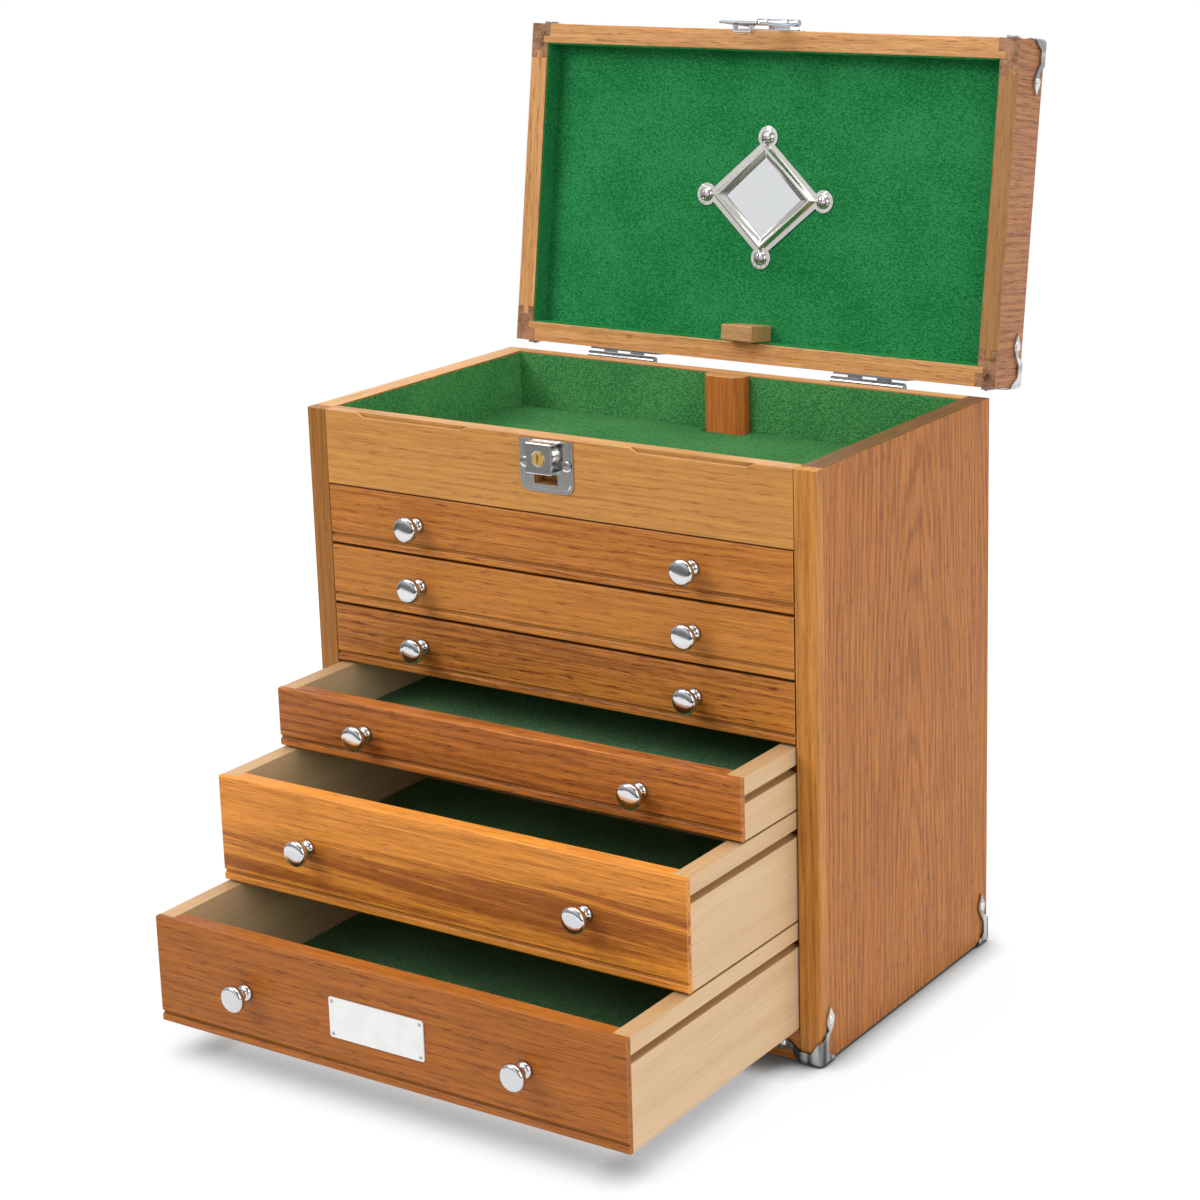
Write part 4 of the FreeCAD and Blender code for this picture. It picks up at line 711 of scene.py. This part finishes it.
class CHEST_OT_metal(bpy.types.Operator):
    """Plate the metal pieces, silver the mirror and cover the handle's grip"""

    bl_idname = "chest.metal"
    bl_label = "Metal"

    def foot_chrome(self):
        """Plating with painted shade that darkens it towards the foot, and painted dark reflections in
        upright streaks.
        """
        shader = Shader("foot_chrome")
        # Painted shade: darker low down, lighter higher up
        rise = shader.ramp(shader.math("MULTIPLY", shader.part("Z"), 20.0), ((0.3, 0.0), (0.75, 1.0)))
        streak = shader.noise(shader.place(scale=stretched("Z", 12.0, 150.0)), detail=1.0)
        # Painted dark reflections in upright streaks
        low = shader.ramp(streak, ((0.42, 0.08), (0.6, 0.55)))
        high = shader.ramp(streak, ((0.4, 0.35), (0.55, 0.75)))
        shader.set(Base_Color=shader.mix(rise, low, high), Metallic=1.0, Roughness=0.14)
        return shader.material

    def silvered_glass(self):
        """Mirror glass with a faint haze."""
        shader = Shader("mirror_glass")
        haze = shader.noise(shader.place(), 60.0, 3.0)
        shader.set(Base_Color=(0.9, 0.92, 0.93, 1.0), Metallic=1.0,
                   Roughness=shader.math("MULTIPLY_ADD", haze, 0.03, 0.01))
        return shader.material

    def leather(self, light, dark):
        """Grained leather."""
        shader = Shader("leather")
        cells = shader.noise(shader.place(), 520.0, 3.0)
        shader.set(Base_Color=shader.ramp(cells, ((0.3, dark), (0.7, light))), Roughness=0.5)
        shader.bump(cells, 0.4, 0.4 * MM)
        return shader.material

    def execute(self, context):
        settings = context.scene.chest_metal
        use("handle_mounts", make_metal("chrome", tuple(settings.chrome), settings.chrome_roughness))
        use("mirror_frame", make_metal("nickel", tuple(settings.nickel), 0.2))
        use("lock_plug", make_metal("brass", tuple(settings.brass), 0.3))
        use("lock_catches", make_metal("steel", tuple(settings.steel), 0.35))
        # Chrome painted dark as painted shade, with painted dark reflections in streaks
        painted_dark_hinge = make_metal("hinge_chrome", (0.3, 0.31, 0.33, 1.0), 0.2, streaks=("X", 900.0))
        for node in ("hinge_case_leaves", "hinge_lid_leaves"):
            use(node, painted_dark_hinge)
        for node in ("hasp_base", "hasp"):
            # Painted shade along the edges
            use(node, make_metal(node + "_chrome", (0.56, 0.58, 0.63, 1.0), 0.2, rim=1.0, painted_rim_colour=PAINTED_SHADE_RIM))
        # Painted highlight along the edges of the housing and the plate
        use("lock_housing", make_metal("housing_chrome", (0.85, 0.85, 0.84, 1.0), 0.13, brushed="X", rim=1.2))
        use("lock_plate", make_metal("plate_chrome", (0.88, 0.88, 0.86, 1.0), 0.17, brushed="Z", rim=1.6))
        # Painted shade along the edges, and painted dark reflections in streaks
        use("lid_corners", make_metal("corner_chrome", (0.74, 0.75, 0.76, 1.0), 0.14, rim=0.9,
                                      painted_rim_colour=PAINTED_SHADE_RIM, streaks=("Y", 95.0)))
        use("case_corners", self.foot_chrome())
        use("mirror_glass", self.silvered_glass())
        use("handle_grip", self.leather(**shades(settings, "leather")))
        for node in ("lock_housing", "lock_plate", "hasp", "hasp_base", "mirror_frame", "handle_grip",
                     "handle_mounts"):
            ease_edges(node, settings.edge)
        for node in ("case_corners", "lid_corners"):
            ease_edges(node, settings.edge * 2)
        return {"FINISHED"}


# Radius and height of a turned knob in millimetres
KNOB_PROFILE = (
    (0.0, 0.0), (5.6, 0.0), (5.6, 0.9), (5.4, 1.6), (4.9, 2.3), (4.2, 2.8), (3.6, 3.1), (3.3, 3.6),
    (3.2, 4.4), (3.3, 5.2), (3.7, 6.3), (4.6, 7.6), (6.0, 8.8), (7.4, 9.6), (8.3, 10.1), (8.8, 10.9),
    (8.8, 12.8), (8.5, 13.8), (7.9, 14.4), (6.9, 14.8), (4.5, 15.05), (2.0, 15.17), (0.0, 15.2),
)


class CHEST_OT_knobs(bpy.types.Operator):
    """Turn the drawer knobs"""

    bl_idname = "chest.knobs"
    bl_label = "Knobs"

    def execute(self, context):
        settings = context.scene.chest_metal
        chrome = make_metal("knob_chrome", tuple(settings.knob), 0.08)
        profile = [(radius * MM, height * MM) for radius, height in KNOB_PROFILE]
        for number in DRAWERS:
            node = "drawer_%d_knobs" % number
            low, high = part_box(node)
            reach = (high.z - low.z) / 2
            level = (low.z + high.z) / 2
            places = [(Vector((x, high.y, level)), (0, -1, 0)) for x in (low.x + reach, high.x - reach)]
            mesh = lathe(node + "_turned", profile, settings.knob_steps, places)
            new_piece("drawer_%d_turned_knobs" % number, mesh, "drawer_%d" % number, chrome, [node])
        return {"FINISHED"}


def heads_of(node):
    """Place, direction, radius and height of each tapered head in a CAD node."""
    piece = NODES[node]
    shape = bmesh.new()
    shape.from_mesh(piece.data)
    bmesh.ops.transform(shape, matrix=piece.matrix_world, verts=shape.verts)
    bmesh.ops.remove_doubles(shape, verts=shape.verts, dist=WELD_REACH)
    waiting = dict.fromkeys(shape.faces)
    found = []
    while waiting:
        island = [waiting.popitem()[0]]
        for face in island:
            for edge in face.edges:
                for other in edge.link_faces:
                    if other in waiting:
                        del waiting[other]
                        island.append(other)
        flats = {}
        for face in island:
            key = tuple(round(part, 2) for part in face.normal)
            flats.setdefault(key, []).append(face)
        base = max(flats.values(), key=lambda faces: sum(face.calc_area() for face in faces))
        direction = -base[0].normal
        rim = dict.fromkeys(vertex for face in base for vertex in face.verts)
        centre = sum((vertex.co for vertex in rim), Vector()) / len(rim)
        radius = max((vertex.co - centre).length for vertex in rim)
        height = max((vertex.co - centre).dot(direction) for face in island for vertex in face.verts)
        found.append((centre, Vector(direction), radius, height))
    shape.free()
    return found


# Radius and height of a domed head, as shares of its own
DOME_PROFILE = (
    (1.0, 0.0), (1.0, 0.12), (0.97, 0.32), (0.88, 0.56), (0.72, 0.76), (0.5, 0.91), (0.25, 0.98), (0.0, 1.0),
)
HEAD_STEPS = 32
# Reach, half width and depth of a cross recess, as shares of the head's radius
RECESS = (0.72, 0.15, 0.6)
# How much of its length and of its width the cross loses towards its foot
RECESS_SHORTENING = 0.45
RECESS_NARROWING = 0.18
# Heads whose radius is this close to a rivet's are rivets
SAME_RADIUS = MM / 20


def dome(radius, height):
    """Profile of one domed head."""
    return [(share * radius, level * height) for share, level in DOME_PROFILE]


def cross_cutter(radius, height):
    """A tapered cross that is sunk into a screw head."""
    reach, width, depth = (share * radius for share in RECESS)
    shape = bmesh.new()
    quarters = [Matrix.Rotation(math.tau / 4 * step, 3, "Z") for step in range(4)]
    corners = ((reach, -width), (reach, width), (width, width))
    rings = []
    for level, along, across in ((height + width, 1.0, 1.0),
                                 (height - depth, 1 - RECESS_SHORTENING, 1 - RECESS_NARROWING)):
        rings.append([shape.verts.new(turn @ Vector((x * along, y * across, level)))
                      for turn in quarters for x, y in corners])
    count = len(rings[0])
    for step in range(count):
        after = (step + 1) % count
        shape.faces.new((rings[1][step], rings[1][after], rings[0][after], rings[0][step]))
    shape.faces.new(rings[0])
    shape.faces.new(list(reversed(rings[1])))
    bmesh.ops.recalc_face_normals(shape, faces=shape.faces)
    return finished("cross_cutter", shape, smooth=False)


def crossed_head(radius, height):
    """One domed head with its cross recess, standing on the origin."""
    mesh = lathe("head", dome(radius, height), HEAD_STEPS, [(Vector(), UP)])
    head = bpy.data.objects.new("head", mesh)
    cutter = bpy.data.objects.new("cutter", cross_cutter(radius, height))
    for thing in (head, cutter):
        bpy.context.scene.collection.objects.link(thing)
    sink = head.modifiers.new("sink", "BOOLEAN")
    sink.object = cutter
    sink.operation = "DIFFERENCE"
    sink.solver = "EXACT"
    shape = bmesh.new()
    shape.from_object(head, bpy.context.evaluated_depsgraph_get())
    for thing in (head, cutter):
        mesh = thing.data
        bpy.data.objects.remove(thing)
        bpy.data.meshes.remove(mesh)
    return shape


def add_mesh(shape, mesh):
    """Move a mesh into a shape."""
    shape.from_mesh(mesh)
    bpy.data.meshes.remove(mesh)


class CHEST_OT_fasteners(bpy.types.Operator):
    """Set domed rivets and cross-head screws"""

    bl_idname = "chest.fasteners"
    bl_label = "Fasteners"

    def set_screws(self, shape, radius, height, places):
        """Add one cross-head screw to the shape at each place and direction."""
        template = crossed_head(radius, height)
        for centre, direction in places:
            turn = UP.rotation_difference(direction).to_matrix().to_4x4()
            copy = template.copy()
            bmesh.ops.transform(copy, matrix=Matrix.Translation(centre) @ turn, verts=copy.verts)
            add_mesh(shape, finished("copy", copy, smooth=False))
        template.free()

    def set_heads(self, node, rivet):
        """All heads of a CAD node as one shape: those as wide as a rivet are plain, the others crossed."""
        kinds = {}
        for centre, direction, radius, height in heads_of(node):
            kinds.setdefault((round(radius, 5), round(height, 5)), []).append((centre, direction))
        shape = bmesh.new()
        for (radius, height), places in sorted(kinds.items()):
            if abs(radius - rivet) < SAME_RADIUS:
                add_mesh(shape, lathe("rivets", dome(radius, height), HEAD_STEPS, places))
            else:
                self.set_screws(shape, radius, height, places)
        return shape

    def execute(self, context):
        # Chrome, paler and tinted pink as a painted reflection of the wood round it
        material = make_metal("fastener_chrome", (0.78, 0.75, 0.75, 1.0), 0.12)
        for node, body in (("case_fasteners", "case"), ("lid_fasteners", "lid")):
            mesh = finished(node + "_turned", self.set_heads(node, context.scene.chest_trim.rivet_radius))
            piece = new_piece(body + "_rivets_and_screws", mesh, body, material, [node])
            split = piece.modifiers.new("split", "EDGE_SPLIT")
            split.split_angle = CRISP_ANGLE
        return {"FINISHED"}


# Rings of wire in one turn of the spring, and corners of a ring
TURN_STEPS = 24
WIRE_SIDES = 8


def wind(name, foot, radius, height, turns, wire):
    """A helical spring of round wire that stands on its foot."""
    shape = bmesh.new()
    count = turns * TURN_STEPS
    rings = []
    for step in range(count + 1):
        angle = math.tau * step / TURN_STEPS
        outward = Vector((math.cos(angle), math.sin(angle), 0))
        middle = foot + outward * radius + UP * (wire / 2 + (height - wire) * step / count)
        rings.append([shape.verts.new(middle + (outward * math.cos(turn) + UP * math.sin(turn)) * wire / 2)
                      for turn in (math.tau * side / WIRE_SIDES for side in range(WIRE_SIDES))])
    for lower, upper in zip(rings, rings[1:]):
        for side in range(WIRE_SIDES):
            after = (side + 1) % WIRE_SIDES
            shape.faces.new((lower[side], lower[after], upper[after], upper[side]))
    shape.faces.new(rings[0])
    shape.faces.new(list(reversed(rings[-1])))
    bmesh.ops.recalc_face_normals(shape, faces=shape.faces)
    return finished(name, shape)


class CHEST_OT_spring(bpy.types.Operator):
    """Wind the spring under the locking bar"""

    bl_idname = "chest.spring"
    bl_label = "Spring"

    def execute(self, context):
        settings = context.scene.chest_trim
        low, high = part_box("lock_spring")
        height = high.z - low.z
        foot = Vector(((low.x + high.x) / 2, (low.y + high.y) / 2, low.z))
        radius = (high.x - low.x - settings.spring_wire) / 2
        mesh = wind("return_spring", foot, radius, height, settings.spring_turns, settings.spring_wire)
        steel = make_metal("spring_steel", tuple(context.scene.chest_metal.steel), 0.35)
        spring = new_piece("return_spring", mesh, "lock_bar", steel, ["lock_spring"])
        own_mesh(spring)
        return {"FINISHED"}


# Radius of the plate's corners, and how far its nails stand in from its edges
PLATE_CORNER = 0.8 * MM
NAIL_INSET = 2.6 * MM
# Radius and height of a nail's head in millimetres
NAIL_PROFILE = ((0.0, 0.0), (1.2, 0.0), (1.2, 0.2), (0.9, 0.5), (0.0, 0.65))
NAIL_STEPS = 16


class CHEST_OT_plate(bpy.types.Operator):
    """Nail a bare plate on the bottom drawer's front"""

    bl_idname = "chest.plate"
    bl_label = "Plate"

    def enamel(self, light, dark):
        """Pale enamel with a faint haze."""
        shader = Shader("plate_enamel")
        haze = shader.noise(shader.place(), 90.0, 3.0)
        shader.set(Base_Color=shader.ramp(haze, ((0.3, dark), (0.7, light))), Roughness=0.3)
        return shader.material

    def execute(self, context):
        settings = context.scene.chest_trim
        width, height, thick = settings.plate_size
        aside, above = settings.plate_place
        low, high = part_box("drawer_6_front")
        centre = Vector((aside, low.y, (low.z + high.z) / 2 + above))
        shape = bmesh.new()
        bmesh.ops.create_cube(shape, size=1.0)
        bmesh.ops.scale(shape, vec=(width, thick, height), verts=shape.verts)
        bmesh.ops.translate(shape, vec=centre - Vector((0, thick / 2, 0)), verts=shape.verts)
        corners = [edge for edge in shape.edges
                   if abs(edge.verts[0].co.y - edge.verts[1].co.y) > thick / 2]
        bmesh.ops.bevel(shape, geom=corners, offset=PLATE_CORNER, segments=3, affect="EDGES")
        mesh = finished("bare_plate", shape, smooth=False)
        new_piece("bare_plate", mesh, "drawer_6", self.enamel(**shades(settings, "plate")))
        nails = [(centre + Vector((x * (width / 2 - NAIL_INSET), -thick, z * (height / 2 - NAIL_INSET))),
                  (0, -1, 0)) for x in (-1, 1) for z in (-1, 1)]
        profile = [(radius * MM, height * MM) for radius, height in NAIL_PROFILE]
        new_piece("plate_nails", lathe("plate_nails", profile, NAIL_STEPS, nails), "drawer_6",
                  make_metal("nail_steel", (0.5, 0.5, 0.5, 1.0), 0.3))
        return {"FINISHED"}


# Width of the camera's film in millimetres, and the nearest and farthest that it sees in metres
FILM_WIDTH = 36.0
SIGHT = (0.05, 50.0)
# Name, place, width and power of each square lamp in metres and watts, and the spot that all are aimed at
LAMPS = (
    ("key", (-1.6, -2.2, 2.3), 1.6, 55.0),
    ("fill", (2.4, -1.4, 1.3), 1.6, 22.0),
    ("top", (0.2, 0.3, 2.6), 2.0, 40.0),
)
AIM = Vector((0.0, -0.05, 0.3))
# Left, right, front and rear edge of the white floor in metres
FLOOR_EDGES = (-1.1, 1.6, -1.0, 1.6)
# Glow of the floor from under the chest to the open, dim there as a painted shadow, and from near to far in
# metres
FLOOR_GLOW_AND_PAINTED_SHADOW = ((0.42, 0.02), (0.60, 0.45), (0.88, 0.86))
FAR_GLOW = ((0.42, 0.0), (0.72, 1.0))
# Brightness of the room in front, from straight down to straight up, and round the horizon
ROOM_HEIGHTS = ((0.0, 0.12), (0.38, 0.22), (0.46, 0.4), (0.53, 0.95), (0.8, 1.0))
ROOM_TURNS = ((0.0, 0.9), (0.10, 0.5), (0.14, 1.0), (0.24, 1.0), (0.31, 0.25), (0.40, 0.25), (0.46, 1.0),
              (1.0, 1.0))
# Share of the white sweep behind the chest, from straight ahead of it to straight behind, and its brightness
SWEEP_SHARES = ((0.50, 0.0), (0.62, 1.0))
SWEEP_SHADE = grey(0.9)
WHITE = grey(1.0)


class CHEST_OT_studio(bpy.types.Operator):
    """Set up the camera, the lamps and the floor"""

    bl_idname = "chest.studio"
    bl_label = "Studio"

    def add_camera(self, scene, settings):
        azimuth, drop, roll = settings.turn
        forward = Vector((math.sin(azimuth) * math.cos(drop), math.cos(azimuth) * math.cos(drop),
                          -math.sin(drop)))
        right = forward.cross(UP).normalized()
        up = right.cross(forward)
        turned_right = right * math.cos(roll) + up * math.sin(roll)
        turned_up = -right * math.sin(roll) + up * math.cos(roll)
        data = bpy.data.cameras.new("camera")
        data.lens = settings.lens
        data.sensor_width = FILM_WIDTH
        data.shift_x, data.shift_y = settings.shift
        data.clip_start, data.clip_end = SIGHT
        camera = bpy.data.objects.new("camera", data)
        scene.collection.objects.link(camera)
        camera.matrix_world = Matrix.Translation(Vector(settings.camera)) @ Matrix(
            (turned_right, turned_up, -forward)).transposed().to_4x4()
        scene.camera = camera

    def add_lamps(self, scene):
        for name, place, width, power in LAMPS:
            data = bpy.data.lights.new(name, "AREA")
            data.shape = "SQUARE"
            data.size = width
            data.energy = power
            lamp = bpy.data.objects.new(name, data)
            scene.collection.objects.link(lamp)
            lamp.location = place
            lamp.rotation_mode = "QUATERNION"
            lamp.rotation_quaternion = (AIM - Vector(place)).to_track_quat("-Z", "Y")

    def add_world(self, scene):
        """A pale room that the camera sees as plain white."""
        world = bpy.data.worlds.new("studio")
        scene.world = world
        world.use_nodes = True
        world.node_tree.nodes.clear()
        sky = Nodes(world.node_tree)
        level, depth = (sky.math("MULTIPLY_ADD", sky.part(axis, "Generated"), 0.5, 0.5) for axis in "ZY")
        # Round the horizon the angle runs from 0 to 1, starting at -X and going by way of -Y
        angle = sky.texture("ShaderNodeTexGradient", sky.coordinates("Generated"), {}, gradient_type="RADIAL")
        front = sky.mix(1.0, sky.ramp(level, ROOM_HEIGHTS), sky.ramp(angle, ROOM_TURNS), "MULTIPLY")
        sweep = sky.ramp(depth, SWEEP_SHARES)
        room = sky.add("ShaderNodeBackground")
        sky.feed(room.inputs["Color"], sky.mix(sweep, front, SWEEP_SHADE))
        room.inputs["Strength"].default_value = scene.chest_studio.room
        white = sky.add("ShaderNodeBackground")
        white.inputs["Color"].default_value = WHITE
        white.inputs["Strength"].default_value = 1.0
        path = sky.add("ShaderNodeLightPath")
        mirrored = sky.math("MAXIMUM", path.outputs["Is Glossy Ray"], path.outputs["Is Transmission Ray"])
        seen = sky.math("MAXIMUM", path.outputs["Is Camera Ray"], sky.math("MULTIPLY", mirrored, sweep))
        choose = sky.add("ShaderNodeMixShader")
        for place, value in enumerate((seen, room.outputs[0], white.outputs[0])):
            sky.feed(choose.inputs[place], value)
        sky.feed(sky.add("ShaderNodeOutputWorld").inputs["Surface"], choose.outputs[0])

    def add_floor(self, scene):
        """A white glowing floor, with a painted shadow under the chest where its glow fades, and a faint real
        shadow on its dim base colour.
        """
        left, right, front, rear = FLOOR_EDGES
        corners = [(left, front, 0), (right, front, 0), (right, rear, 0), (left, rear, 0)]
        mesh = bpy.data.meshes.new("floor")
        mesh.from_pydata(corners, [], [(0, 1, 2, 3)])
        floor = bpy.data.objects.new("floor", mesh)
        scene.collection.objects.link(floor)
        shader = Shader("floor")
        distance = shader.add("ShaderNodeVectorMath", operation="LENGTH")
        shader.feed(distance.inputs[0], shader.coordinates())
        # Painted shadow: the floor's glow fades where the chest encloses it
        glow_and_painted_shadow = shader.ramp(shader.openness(scene.chest_studio.painted_shadow_reach), FLOOR_GLOW_AND_PAINTED_SHADOW)
        far = shader.ramp(distance.outputs["Value"], FAR_GLOW)
        shader.set(Base_Color=(0.14, 0.145, 0.15, 1.0), Roughness=0.9, Specular_IOR_Level=0.0,
                   Emission_Color=WHITE, Emission_Strength=shader.math("MAXIMUM", glow_and_painted_shadow, far))
        mesh.materials.append(shader.material)

    def execute(self, context):
        scene = context.scene
        self.add_camera(scene, scene.chest_studio)
        self.add_world(scene)
        self.add_floor(scene)
        self.add_lamps(scene)
        scene.view_settings.view_transform = "Standard"
        return {"FINISHED"}


class CHEST_PT_panel(bpy.types.Panel):
    """Settings and steps of the tool chest"""

    bl_idname = "CHEST_PT_panel"
    bl_label = "Tool chest"
    bl_space_type = "VIEW_3D"
    bl_region_type = "UI"
    bl_category = "Tool chest"

    def draw(self, context):
        layout = self.layout
        for name, group in GROUPS.items():
            box = layout.box()
            for key in group.__annotations__:
                box.prop(getattr(context.scene, name), key)
        for step in STEPS:
            layout.operator(step.bl_idname)


GROUPS = {
    "chest_timber": TimberSettings,
    "chest_felt": FeltSettings,
    "chest_metal": MetalSettings,
    "chest_trim": TrimSettings,
    "chest_studio": StudioSettings,
}
STEPS = (CHEST_OT_timber, CHEST_OT_felt, CHEST_OT_metal, CHEST_OT_knobs, CHEST_OT_fasteners, CHEST_OT_spring,
         CHEST_OT_plate, CHEST_OT_studio)


def register():
    for item in (*GROUPS.values(), *STEPS, CHEST_PT_panel):
        bpy.utils.register_class(item)
    for name, group in GROUPS.items():
        setattr(bpy.types.Scene, name, PointerProperty(type=group))


def unregister():
    for name in GROUPS:
        delattr(bpy.types.Scene, name)
    for item in reversed((*GROUPS.values(), *STEPS, CHEST_PT_panel)):
        bpy.utils.unregister_class(item)


def main():
    """Build the whole scene."""
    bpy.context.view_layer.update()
    register()
    for step in STEPS:
        group, name = step.bl_idname.split(".")
        getattr(getattr(bpy.ops, group), name)()


if __name__ == "__main__":
    main()
